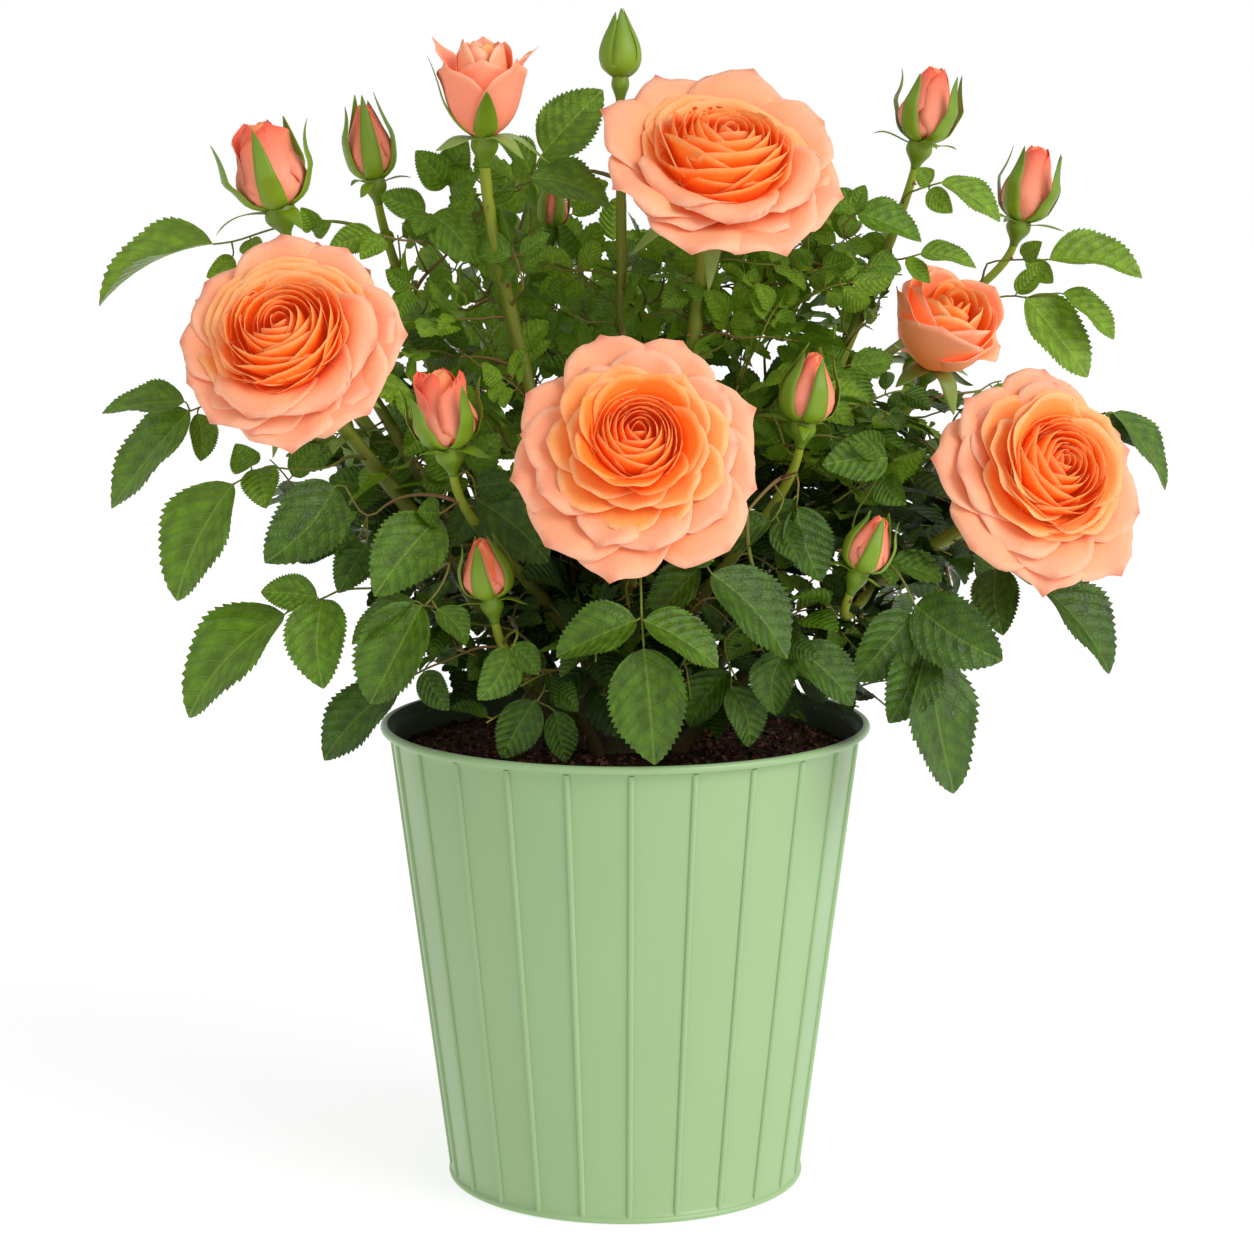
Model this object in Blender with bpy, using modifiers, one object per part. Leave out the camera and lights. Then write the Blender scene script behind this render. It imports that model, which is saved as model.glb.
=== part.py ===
"""A rose bush in a round metal bucket, as canes, flower heads and masses of foliage.

Metres, +Z up, with the front towards -Y. The origin is the centre of the bucket's flat underside.
"""

import math

import bmesh
import bpy
from mathutils import Vector

# The bucket, a tapered round pot of thin sheet metal with a rolled rim and a foot band.
BUCKET_HEIGHT = 0.190
RIM_RADIUS = 0.1002
RIM_BEAD = 0.0036
BODY_TOP_RADIUS = 0.0958
BODY_FOOT_RADIUS = 0.0718
FOOT_BAND_RADIUS = 0.0730
FOOT_BAND_HEIGHT = 0.006
FOOT_BAND_LIP = 0.0008
WALL = 0.0012
BUCKET_STEPS = 32

# The soil, and the short woody stock that the canes spring from.
SOIL_DEPTH_BELOW_RIM = 0.0125
SOIL_CROWN = 0.003
STOCK_HEIGHT = 0.020
STOCK_TOP_RADIUS = 0.0180
STOCK_FOOT_RADIUS = 0.0205
STOCK_SIDES = 12
GAP = 0.0003  # between pieces that touch
CUT_GAP = 0.0004  # round a six-sided cane, so that its flats keep GAP

# Where canes start: (radius of the ring, height above the soil).
STOCK_RING = (0.0126, STOCK_HEIGHT)
SOIL_RING = (0.0275, 0.0)

CANE_POINTS = 7
CANE_BEVEL_RESOLUTION = 1  # six sides
CANE_FOOT_RADIUS = 0.0042
CANE_TOP_RADIUS = {"bloom": 0.0027, "half_open": 0.0024, "bud": 0.0019}

# Flower heads: place of the petals' foot, the way the head faces, its radius and its length.
# A cane starts at an azimuth on a ring or, where that is another cane's name, part of the way up it.
FLOWERS = (
    ("bloom_left", "bloom", (-0.128, -0.036, 0.339), (-0.13, -0.86, 0.52), 0.0450, 0.044, SOIL_RING, 207),
    ("bloom_centre", "bloom", (0.004, -0.076, 0.300), (0.04, -0.91, 0.50), 0.0480, 0.044, STOCK_RING, 270),
    ("bloom_top", "bloom", (0.035, 0.002, 0.399), (0.15, -0.67, 0.74), 0.0480, 0.050, STOCK_RING, 0),
    ("bloom_right", "bloom", (0.159, -0.007, 0.283), (0.39, -0.80, 0.42), 0.0460, 0.044, SOIL_RING, 326),
    ("bloom_back", "bloom", (0.006, 0.112, 0.286), (0.05, 0.85, 0.52), 0.0440, 0.044, SOIL_RING, 86),
    ("bloom_back_left", "bloom", (-0.134, 0.094, 0.330), (-0.45, 0.74, 0.50), 0.0410, 0.042, SOIL_RING, 134),
    ("half_open_left", "half_open", (-0.056, 0.000, 0.426), (0.00, -0.15, 0.99), 0.0178, 0.038, STOCK_RING, 180),
    ("half_open_right", "half_open", (0.127, 0.055, 0.331), (0.28, -0.50, 0.82), 0.0225, 0.038, SOIL_RING, 33),
    ("half_open_back", "half_open", (0.128, 0.128, 0.325), (0.35, 0.45, 0.82), 0.0190, 0.036, SOIL_RING, 58),
    ("bud_far_left", "bud", (-0.137, -0.010, 0.398), (-0.24, -0.10, 0.97), 0.0145, 0.034, SOIL_RING, 182),
    ("bud_left", "bud", (-0.102, 0.030, 0.408), (-0.14, -0.05, 0.99), 0.0097, 0.031, SOIL_RING, 158),
    ("bud_top", "bud", (-0.002, 0.020, 0.449), (0.00, 0.00, 1.00), 0.0078, 0.026, STOCK_RING, 90),
    ("bud_right", "bud", (0.120, 0.030, 0.423), (0.20, -0.05, 0.98), 0.0115, 0.030, SOIL_RING, 8),
    ("bud_far_right", "bud", (0.170, 0.110, 0.388), (0.24, -0.05, 0.97), 0.0115, 0.032, "half_open_right", 0.45),
    ("bud_front_left", "bud", (-0.068, -0.060, 0.308), (-0.13, -0.15, 0.98), 0.0125, 0.030, STOCK_RING, 225),
    ("bud_low_left", "bud", (-0.052, -0.070, 0.251), (-0.16, -0.15, 0.97), 0.0100, 0.024, SOIL_RING, 244),
    ("bud_front_right", "bud", (0.070, -0.040, 0.316), (0.15, -0.10, 0.98), 0.0110, 0.028, STOCK_RING, 315),
    ("bud_low_right", "bud", (0.091, -0.060, 0.260), (0.36, -0.10, 0.93), 0.0090, 0.023, "bloom_right", 0.45),
    ("bud_back", "bud", (0.030, 0.120, 0.405), (0.05, 0.15, 0.99), 0.0100, 0.028, SOIL_RING, 108),
)
LEAN = 0.42  # how far up its own length a cane keeps its first direction
SWAN_NECK = {"bloom": 0.028, "half_open": 0.030, "bud": 0.030}  # straight stretch under the head
SPREAD = 0.30  # how much a cane from the soil leans out as it starts
STRAIGHTNESS = 0.60  # share of its first direction that points at its flower
BUD_BRANCH_RADIUS = 0.0026
HALF_OPEN_STEPS, BUD_STEPS = 10, 8

# Foliage masses: centre, half width, depth and height, and the furthest leaf tips that each reaches.
FOLIAGE = (
    ("leaves_left_high", (-0.158, 0.002, 0.374), (0.044, 0.026, 0.020), ((-0.211, 0.000, 0.358),)),
    ("leaves_left_mid", (-0.150, -0.012, 0.298), (0.050, 0.026, 0.024),
     ((-0.207, -0.020, 0.319), (-0.202, -0.040, 0.283))),
    ("leaves_left_low", (-0.106, -0.038, 0.238), (0.070, 0.036, 0.036),
     ((-0.176, -0.050, 0.247), (-0.171, -0.060, 0.203))),
    ("leaves_left_front", (-0.070, -0.078, 0.236), (0.034, 0.030, 0.038), ((-0.118, -0.062, 0.187),)),
    ("leaves_front", (0.014, -0.070, 0.230), (0.046, 0.054, 0.034), ((0.011, -0.112, 0.194),)),
    ("leaves_right_front", (0.092, -0.056, 0.222), (0.044, 0.034, 0.032), ((0.129, -0.060, 0.173),)),
    ("leaves_right_low", (0.150, 0.010, 0.240), (0.044, 0.034, 0.028),
     ((0.198, 0.000, 0.211), (0.149, -0.020, 0.222))),
    ("leaves_right_high", (0.174, 0.084, 0.350), (0.040, 0.028, 0.030),
     ((0.216, 0.080, 0.366), (0.201, 0.082, 0.324))),
    ("leaves_right_mid", (0.092, 0.014, 0.322), (0.038, 0.040, 0.052), ((0.112, 0.020, 0.396),)),
    ("leaves_upper", (0.020, 0.034, 0.346), (0.050, 0.034, 0.042), ()),
    ("leaves_upper_left", (-0.056, 0.024, 0.388), (0.042, 0.030, 0.040), ((-0.010, 0.020, 0.443),)),
    ("leaves_left_inner", (-0.072, 0.006, 0.316), (0.044, 0.038, 0.044), ()),
    ("leaves_inner", (0.000, 0.014, 0.262), (0.058, 0.040, 0.044), ()),
    ("leaves_back_left", (-0.118, 0.070, 0.262), (0.056, 0.056, 0.050), ((-0.166, 0.120, 0.226),)),
    ("leaves_back_right", (0.142, 0.080, 0.276), (0.060, 0.056, 0.052),
     ((0.222, 0.040, 0.282), (0.160, 0.164, 0.240))),
    ("leaves_back_low", (-0.012, 0.104, 0.232), (0.070, 0.058, 0.036),
     ((-0.050, 0.188, 0.206), (0.056, 0.182, 0.214))),
    ("leaves_back_high", (-0.030, 0.100, 0.356), (0.058, 0.052, 0.050), ((-0.062, 0.178, 0.352),)),
)
MASS_SEGMENTS, MASS_RINGS = 12, 8
UNEVENNESS = 0.09
TIP_WIDTH = 0.06  # of a lobe that reaches a leaf tip, as one less the cosine of its half angle
NEIGHBOUR_MARGIN = 0.09  # kept between two masses, as a share of their half sizes
HEAD_CLEARANCE = 0.003
RIM_CLEARANCE = 0.0035

COLOURS = {  # base colour, roughness, metallic
    "bucket_paint": ((0.34, 0.56, 0.30), 0.38, 0.0),
    "potting_soil": ((0.060, 0.028, 0.016), 0.95, 0.0),
    "old_bark": ((0.150, 0.110, 0.050), 0.80, 0.0),
    "green_cane": ((0.130, 0.220, 0.030), 0.55, 0.0),
    "rose_petal": ((0.900, 0.330, 0.120), 0.55, 0.0),
    "rose_bud": ((0.330, 0.340, 0.060), 0.50, 0.0),
    "rose_leaf": ((0.035, 0.130, 0.020), 0.45, 0.0),
}


def clear_scene():
    for obj in list(bpy.data.objects):
        bpy.data.objects.remove(obj, do_unlink=True)


def make_collection(name):
    collection = bpy.data.collections.new(name)
    bpy.context.scene.collection.children.link(collection)
    return collection


def make_material(name):
    colour, roughness, metallic = COLOURS[name]
    material = bpy.data.materials.new(name)
    material.use_nodes = True
    shader = material.node_tree.nodes["Principled BSDF"]
    shader.inputs["Base Color"].default_value = (*colour, 1.0)
    shader.inputs["Roughness"].default_value = roughness
    shader.inputs["Metallic"].default_value = metallic
    material.diffuse_color = (*colour, 1.0)
    return material


def add_object(name, data, collection, material):
    obj = bpy.data.objects.new(name, data)
    collection.objects.link(obj)
    if material:
        data.materials.append(material)
    return obj


def turned(name, profile, steps, collection, material):
    """A round piece from its profile, given as (radius, height) down its outer side."""
    mesh = bpy.data.meshes.new(name)
    points = [(radius, 0.0, height) for radius, height in profile]
    mesh.from_pydata(points, [(i, i + 1) for i in range(len(points) - 1)], [])
    obj = add_object(name, mesh, collection, material)
    screw = obj.modifiers.new("turn", "SCREW")
    screw.steps = screw.render_steps = steps
    screw.use_merge_vertices = True
    screw.merge_threshold = 0.00001
    screw.use_smooth_shade = True
    return obj


# --- bucket, soil and stock ---------------------------------------------------------------------

def body_radius(height):
    """The bucket's outer radius at a height above its underside."""
    share = (height - FOOT_BAND_HEIGHT) / (BUCKET_HEIGHT - FOOT_BAND_HEIGHT)
    return BODY_FOOT_RADIUS + share * (BODY_TOP_RADIUS - BODY_FOOT_RADIUS)


def build_bucket(collection, material):
    bead_centre = (RIM_RADIUS - RIM_BEAD, BUCKET_HEIGHT - RIM_BEAD)
    inner_top = body_radius(bead_centre[1]) - WALL
    profile = [(0.0, WALL), (body_radius(WALL) - WALL, WALL), (inner_top, bead_centre[1])]
    for degrees in (130, 90, 45, 0, -45, -90):
        turn = math.radians(degrees)
        profile.append((bead_centre[0] + RIM_BEAD * math.cos(turn),
                        bead_centre[1] + RIM_BEAD * math.sin(turn)))
    neck = BUCKET_HEIGHT - 2 * RIM_BEAD - 0.0004
    profile += [
        (body_radius(neck), neck),
        (body_radius(FOOT_BAND_HEIGHT + FOOT_BAND_LIP), FOOT_BAND_HEIGHT + FOOT_BAND_LIP),
        (FOOT_BAND_RADIUS, FOOT_BAND_HEIGHT),
        (FOOT_BAND_RADIUS, FOOT_BAND_LIP),
        (FOOT_BAND_RADIUS - FOOT_BAND_LIP, 0.0),
        (0.0, 0.0),
    ]
    return turned("bucket", profile, BUCKET_STEPS, collection, material)


def soil_height(radius):
    """The soil's surface, which is a little higher in the middle."""
    edge = BUCKET_HEIGHT - SOIL_DEPTH_BELOW_RIM
    share = radius / BODY_TOP_RADIUS
    return edge + SOIL_CROWN * (1 - share * share)


def build_soil(collection, material):
    def wall(height):
        return body_radius(height) - WALL - GAP

    edge = soil_height(BODY_TOP_RADIUS)
    seat = STOCK_FOOT_RADIUS + 0.012
    floor = WALL + GAP
    profile = [
        (0.0, soil_height(0.0)),
        (seat, soil_height(0.0)),
        (0.5 * (seat + wall(edge)), soil_height(0.5 * (seat + wall(edge)))),
        (wall(edge), edge),
        (wall(floor), floor),
        (0.0, floor),
    ]
    return turned("soil", profile, BUCKET_STEPS, collection, material)


def build_stock(collection, material):
    foot = soil_height(0.0) + GAP
    top = foot + STOCK_HEIGHT - GAP
    profile = [
        (0.0, top),
        (STOCK_TOP_RADIUS, top),
        (STOCK_TOP_RADIUS * 1.06, foot + 0.55 * STOCK_HEIGHT),
        (STOCK_FOOT_RADIUS, foot),
        (0.0, foot),
    ]
    return turned("stock", profile, STOCK_SIDES, collection, material)


# --- canes --------------------------------------------------------------------------------------

def bezier(points, share):
    a, b, c, d = points
    rest = 1 - share
    return (a * rest ** 3 + b * 3 * rest * rest * share
            + c * 3 * rest * share * share + d * share ** 3)


def cane_route(start, outward, flower):
    """The four control points of a cane from its start to the foot of its flower's hip."""
    _, kind, foot, facing, radius, _, _, _ = flower
    facing = Vector(facing).normalized()
    end = Vector(foot) - facing * (hip_length(kind, radius) + 2 * GAP)
    reach = (end - start).length
    return (start, start + outward * reach * LEAN, end - facing * SWAN_NECK[kind], end)


def ring_start(ring, azimuth, target):
    """The start of a cane on a ring, and its first direction, part way towards its flower."""
    radius, height = ring
    turn = math.radians(azimuth)
    out = Vector((math.cos(turn), math.sin(turn), 0.0))
    base = soil_height(0.0) + height + GAP
    lean = SPREAD if ring is SOIL_RING else 0.5 * SPREAD
    outward = (out * lean + Vector((0.0, 0.0, 1.0))).normalized()
    straight = (Vector(target) - out * radius - Vector((0.0, 0.0, base))).normalized()
    outward = outward.lerp(straight, STRAIGHTNESS).normalized()
    lift = CANE_FOOT_RADIUS * math.hypot(outward.x, outward.y)  # its leaning foot clears the soil
    return out * radius + Vector((0.0, 0.0, base + lift)), outward


def branch_start(parent, share, flower):
    """The start of a side cane, on the skin of the cane that it leaves."""
    route, foot_radius, top_radius = parent
    here = bezier(route, share)
    along = (bezier(route, share + 0.02) - bezier(route, share - 0.02)).normalized()
    target = Vector(flower[2]) - here
    sideways = (target - along * target.dot(along)).normalized()
    outward = (sideways * 0.8 + along * 0.6).normalized()
    parent_radius = foot_radius + (top_radius - foot_radius) * share
    sine = outward.dot(sideways)
    distance = (0.85 * parent_radius + BUD_BRANCH_RADIUS * outward.dot(along) + 2 * GAP) / sine
    return here + outward * distance, outward


def plan_canes():
    """{flower name: (control points, radius at the foot, radius at the top)}, parents first."""
    planned = {}
    for flower in sorted(FLOWERS, key=lambda row: isinstance(row[6], str)):
        name, kind, origin, turn = flower[0], flower[1], flower[6], flower[7]
        if isinstance(origin, str):
            start, outward = branch_start(planned[origin], turn, flower)
            foot_radius = BUD_BRANCH_RADIUS
        else:
            start, outward = ring_start(origin, turn, flower[2])
            foot_radius = CANE_FOOT_RADIUS if kind != "bud" else 0.8 * CANE_FOOT_RADIUS
        planned[name] = (cane_route(start, outward, flower), foot_radius, CANE_TOP_RADIUS[kind])
    return planned


def tube(name, plan, extra, collection, material):
    """A tapering round limb along a cane's route, thicker by extra."""
    route, foot_radius, top_radius = plan
    curve = bpy.data.curves.new(name, "CURVE")
    curve.dimensions = "3D"
    curve.bevel_depth = 1.0
    curve.bevel_resolution = CANE_BEVEL_RESOLUTION
    curve.use_fill_caps = True
    spline = curve.splines.new("POLY")
    spline.points.add(CANE_POINTS - 1)
    for index, point in enumerate(spline.points):
        share = 0.5 - 0.5 * math.cos(math.pi * index / (CANE_POINTS - 1))  # closer at the ends
        point.co = (*bezier(route, share), 1.0)
        point.radius = foot_radius + (top_radius - foot_radius) * share + extra
    return add_object(name, curve, collection, material)


def as_cutter(obj, collection):
    """A closed mesh made from a tube, to cut foliage with."""
    evaluated = obj.evaluated_get(bpy.context.evaluated_depsgraph_get())
    mesh = bpy.data.meshes.new_from_object(evaluated)
    shape = bmesh.new()
    shape.from_mesh(mesh)
    bmesh.ops.remove_doubles(shape, verts=shape.verts, dist=0.00001)
    bmesh.ops.recalc_face_normals(shape, faces=shape.faces)
    shape.to_mesh(mesh)
    shape.free()
    cutter = add_object(obj.name + "_cutter", mesh, collection, None)
    cutter.matrix_world = obj.matrix_world
    cutter.hide_render = True
    cutter.display_type = "WIRE"
    bpy.data.objects.remove(obj, do_unlink=True)
    return cutter


# --- flower heads -------------------------------------------------------------------------------

def hip_length(kind, radius):
    return {"bloom": 0.011, "half_open": 0.011, "bud": 0.36 * radius + 0.0055}[kind]


def place(obj, flower):
    obj.location = flower[2]
    obj.rotation_mode = "QUATERNION"
    obj.rotation_quaternion = Vector(flower[3]).to_track_quat("Z", "Y")


def build_bloom(flower, collection, material):
    """A full open rose: a hip, a saucer of outer petals turned down at the edge, and a domed heart."""
    name, kind, _, _, radius, length, _, turn = flower
    hip = hip_length(kind, radius)
    rings = (
        (0.0042, -0.86 * hip), (0.0046, -0.35 * hip), (0.34 * radius, 0.05 * length),
        (0.82 * radius, 0.17 * length), (radius, 0.24 * length), (0.95 * radius, 0.42 * length),
        (0.72 * radius, 0.76 * length), (0.36 * radius, 0.97 * length),
    )
    shape = bmesh.new()
    bmesh.ops.create_uvsphere(shape, u_segments=15, v_segments=len(rings) + 1, radius=1.0)
    for vertex in shape.verts:
        latitude = math.asin(max(-1.0, min(1.0, vertex.co.z)))
        index = round((latitude / math.pi + 0.5) * (len(rings) + 1)) - 1
        if index < 0:
            vertex.co = (0.0, 0.0, -hip)
        elif index >= len(rings):
            vertex.co = (0.0, 0.0, length)
        else:
            around = math.atan2(vertex.co.y, vertex.co.x)
            ring_radius, height = rings[index]
            lobes = 0.035 * math.cos(5 * around + turn) if index >= 3 else 0.0
            ring_radius *= 1 + lobes
            height -= 1.2 * lobes * ring_radius
            vertex.co = (ring_radius * math.cos(around), ring_radius * math.sin(around), height)
    mesh = bpy.data.meshes.new(name)
    shape.to_mesh(mesh)
    shape.free()
    mesh.shade_smooth()
    obj = add_object(name, mesh, collection, material)
    place(obj, flower)
    return obj


def build_half_open(flower, collection, material):
    """A cup of petals that has begun to open, on its hip."""
    name, kind, _, _, radius, length, _, _ = flower
    hip = hip_length(kind, radius)
    profile = [
        (0.0, length), (0.55 * radius, 0.99 * length), (0.97 * radius, 0.90 * length),
        (0.93 * radius, 0.62 * length), (radius, 0.36 * length), (0.72 * radius, 0.10 * length),
        (0.0062, 0.0), (0.0056, -0.6 * hip), (0.0030, -hip), (0.0, -hip),
    ]
    obj = turned(name, profile, HALF_OPEN_STEPS, collection, material)
    place(obj, flower)
    return obj


def build_bud(flower, collection, material):
    """A closed bud in its sepals, pointed at the top, on its hip."""
    name, kind, _, _, radius, length, _, _ = flower
    hip = hip_length(kind, radius)
    profile = [
        (0.0, length), (0.30 * radius, 0.86 * length), (0.80 * radius, 0.60 * length),
        (radius, 0.32 * length), (0.78 * radius, 0.08 * length), (0.42 * radius, -0.05 * length),
        (0.44 * radius, -0.70 * hip), (0.22 * radius, -hip), (0.0, -hip),
    ]
    obj = turned(name, profile, BUD_STEPS, collection, material)
    place(obj, flower)
    return obj


# --- foliage ------------------------------------------------------------------------------------

def share_out(point, centre, half):
    """How far out of an ellipsoid a point lies: 0 at its centre and 1 on its surface."""
    return Vector([(point[i] - centre[i]) / half[i] for i in range(3)]).length


def inside_head(point, flower):
    """True where a point is in the room that a flower head takes."""
    _, kind, foot, facing, radius, length, _, _ = flower
    facing = Vector(facing).normalized()
    hip = hip_length(kind, radius)
    middle = Vector(foot) + facing * 0.5 * (length - hip)
    offset = Vector(point) - middle
    along = offset.dot(facing)
    across = (offset - facing * along).length
    return (across / (radius * 1.06 + HEAD_CLEARANCE)) ** 4 + (
        along / (0.5 * (length + hip) + HEAD_CLEARANCE)) ** 4 < 1


def inside_bucket(point):
    out = math.hypot(point[0], point[1])
    return point[2] < BUCKET_HEIGHT + RIM_CLEARANCE and out < RIM_RADIUS + RIM_CLEARANCE


def uneven(direction, name):
    """A smooth factor near 1 that differs by direction and by mass."""
    phase = sum(ord(letter) for letter in name)
    return 1 + UNEVENNESS * (
        math.sin(5.0 * direction.x + 1.3 * phase) * math.cos(4.0 * direction.y + phase)
        + 0.6 * math.sin(7.0 * direction.z + 2.1 * phase + 3.0 * direction.x))


def blocked(point, mass):
    """True where a mass gives way, to a flower head, the bucket or a neighbour that is nearer."""
    name, centre, half, _ = mass
    if inside_bucket(point) or any(inside_head(point, flower) for flower in FLOWERS):
        return True
    own = share_out(point, centre, half)
    for other in FOLIAGE:
        theirs = share_out(point, other[1], other[2])
        if other[0] != name and theirs < 1 + 1.8 * UNEVENNESS and own + NEIGHBOUR_MARGIN > theirs:
            return True
    return False


def mass_radius(direction, mass):
    """How far a mass reaches from its centre, with a lobe towards each of its leaf tips."""
    name, centre, half, tips = mass
    centre = Vector(centre)
    radius = uneven(direction, name) / Vector([direction[i] / half[i] for i in range(3)]).length
    for tip in tips:
        offset = Vector(tip) - centre
        towards = offset.normalized()
        bare = 1 / Vector([towards[i] / half[i] for i in range(3)]).length
        extra = max(0.0, offset.length - bare)
        radius += extra * math.exp((direction.dot(towards) - 1) / TIP_WIDTH)
    steps = 40
    for step in range(1, steps + 1):
        if blocked(centre + direction * radius * step / steps, mass):
            return radius * (step - 1) / steps
    return radius


def build_mass(mass, collection, material, cutters):
    """One closed, uneven mass of leaves, cut round the canes that run through it."""
    name, centre, _, tips = mass
    centre = Vector(centre)
    shape = bmesh.new()
    bmesh.ops.create_uvsphere(shape, u_segments=MASS_SEGMENTS, v_segments=MASS_RINGS, radius=1.0)
    pole = (Vector(tips[0]) - centre).normalized() if tips else Vector((0.3, 0.1, 1.0)).normalized()
    turn = pole.to_track_quat("Z", "Y").to_matrix()
    directions = [(turn @ vertex.co).normalized() for vertex in shape.verts]
    for tip in tips:
        towards = (Vector(tip) - centre).normalized()
        nearest = max(range(len(directions)), key=lambda index: directions[index].dot(towards))
        directions[nearest] = towards
    for vertex, direction in zip(shape.verts, directions):
        vertex.co = centre + direction * mass_radius(direction, mass)
    mesh = bpy.data.meshes.new(name)
    shape.to_mesh(mesh)
    shape.free()
    obj = add_object(name, mesh, collection, material)
    cut = obj.modifiers.new("room for the canes", "BOOLEAN")
    cut.operation = "DIFFERENCE"
    cut.operand_type = "COLLECTION"
    cut.collection = cutters
    cut.solver = "EXACT"
    return obj


def main():
    clear_scene()
    plant = make_collection("rose_bush")
    cutters = make_collection("cutters")
    materials = {name: make_material(name) for name in COLOURS}
    build_bucket(plant, materials["bucket_paint"])
    build_soil(plant, materials["potting_soil"])
    build_stock(plant, materials["old_bark"])
    builders = {"bloom": build_bloom, "half_open": build_half_open, "bud": build_bud}
    plans = plan_canes()
    for flower in FLOWERS:
        name, kind = flower[0], flower[1]
        builders[kind](flower, plant, materials["rose_bud" if kind == "bud" else "rose_petal"])
        tube("cane_" + name, plans[name], 0.0, plant, materials["green_cane"])
        fat = tube("room_" + name, plans[name], CUT_GAP, cutters, None)
        bpy.context.view_layer.update()
        as_cutter(fat, cutters)
    for mass in FOLIAGE:
        build_mass(mass, plant, materials["rose_leaf"], cutters)
    cutters.hide_render = True


main()
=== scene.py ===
import math

import bpy
import numpy as np
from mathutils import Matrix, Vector


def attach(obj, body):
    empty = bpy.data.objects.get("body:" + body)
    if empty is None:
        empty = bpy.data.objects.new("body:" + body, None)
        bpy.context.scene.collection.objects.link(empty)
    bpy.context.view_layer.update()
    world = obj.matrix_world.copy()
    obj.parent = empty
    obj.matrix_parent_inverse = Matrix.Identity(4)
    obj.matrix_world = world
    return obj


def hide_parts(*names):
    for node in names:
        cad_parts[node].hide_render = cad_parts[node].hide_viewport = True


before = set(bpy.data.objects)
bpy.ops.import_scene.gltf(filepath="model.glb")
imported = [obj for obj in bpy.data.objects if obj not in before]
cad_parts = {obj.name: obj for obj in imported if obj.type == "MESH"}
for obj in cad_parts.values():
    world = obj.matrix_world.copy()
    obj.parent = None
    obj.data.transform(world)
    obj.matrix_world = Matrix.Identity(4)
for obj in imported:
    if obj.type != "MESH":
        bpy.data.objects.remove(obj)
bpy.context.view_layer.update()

# A patio rose with peach flowers in a painted metal bucket. Sizes are metres, angles degrees.
scene = bpy.context.scene
print("frame loaded:", len(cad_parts), "nodes")


def mix(a, b, share):
    return a + (b - a) * share


def smooth(low, high, x):
    share = np.clip((x - low) / (high - low), 0.0, 1.0)
    return share * share * (3 - 2 * share)


def unit(v):
    v = np.asarray(v, float)
    return v / np.maximum(np.linalg.norm(v, axis=-1, keepdims=True), 1e-12)


def bezier(points, share):
    a, b, c, d = (np.asarray(p, float) for p in points)
    share = np.atleast_1d(np.asarray(share, float))[:, None]
    rest = 1 - share
    return a * rest ** 3 + 3 * b * rest * rest * share + 3 * c * rest * share ** 2 + d * share ** 3


def newHeap():
    return {"points": [], "faces": [], "maps": [], "slots": [], "count": 0}


def pile(heap, points, faces, maps, slot=0):
    # faces all have 3 or all have 4 corners; maps holds one place per corner
    heap["points"].append(points)
    heap["faces"].append(faces + heap["count"])
    heap["maps"].append(maps)
    heap["slots"].append(np.broadcast_to(slot, len(faces)))
    heap["count"] += len(points)


def heapObject(name, heap, materials, mapName):
    points = np.concatenate(heap["points"])
    sizes = np.concatenate([np.full(len(f), f.shape[1]) for f in heap["faces"]])
    corners = np.concatenate([f.ravel() for f in heap["faces"]])
    places = np.concatenate([m.reshape(-1, 2) for m in heap["maps"]])
    slots = np.concatenate(heap["slots"]).astype(np.int32)
    mesh = bpy.data.meshes.new(name)
    mesh.vertices.add(len(points))
    mesh.vertices.foreach_set("co", points.astype(np.float32).ravel())
    mesh.loops.add(len(corners))
    mesh.loops.foreach_set("vertex_index", corners.astype(np.int32))
    mesh.polygons.add(len(sizes))
    mesh.polygons.foreach_set("loop_start", (np.cumsum(sizes) - sizes).astype(np.int32))
    for material in materials:
        mesh.materials.append(material)
    mesh.polygons.foreach_set("material_index", slots)
    mesh.update(calc_edges=True)
    # the baking map gives each material its own cell
    cells = math.ceil(math.sqrt(len(materials)))
    cell = np.repeat(np.stack([slots % cells, slots // cells], 1), sizes, axis=0)
    for title, uv in ((mapName, places), ("OFBake", (cell + 0.03 + 0.94 * places) / cells)):
        layer = mesh.uv_layers.new(name=title)
        layer.uv.foreach_set("vector", uv.astype(np.float32).ravel())
    mesh.shade_smooth()
    piece = bpy.data.objects.new(name, mesh)
    scene.collection.objects.link(piece)
    return piece


def finishPiece(piece, slot, *nodes):
    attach(piece, "root")
    if nodes:
        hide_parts(*nodes)
    print(piece.name, "faces:", len(piece.data.polygons))


def gridFaces(rows, columns, closed=False):
    # quads of a grid of points; closed joins the last column to the first
    r, c = np.meshgrid(np.arange(rows - 1), np.arange(columns if closed else columns - 1), indexing="ij")
    r, c = r.ravel(), c.ravel()
    after = (c + 1) % columns
    low, high = r * columns, (r + 1) * columns
    quads = np.stack([low + c, low + after, high + after, high + c], 1)
    across = columns if closed else columns - 1
    u, v = np.stack([c, c + 1, c + 1, c], 1) / across, np.stack([r, r, r + 1, r + 1], 1) / (rows - 1)
    return quads, np.stack([u, v], -1)


def frames(path):
    # two steady cross directions along a path
    path = np.asarray(path, float)
    along = unit(np.gradient(path, axis=0))
    side = np.zeros_like(path)
    first = np.cross(along[0], (0.0, 1.0, 0.0) if abs(along[0][1]) < 0.9 else (1.0, 0.0, 0.0))
    side[0] = unit(first)
    for i in range(1, len(path)):
        side[i] = unit(side[i - 1] - along[i] * np.dot(side[i - 1], along[i]))
    return side, np.cross(along, side)


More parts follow.
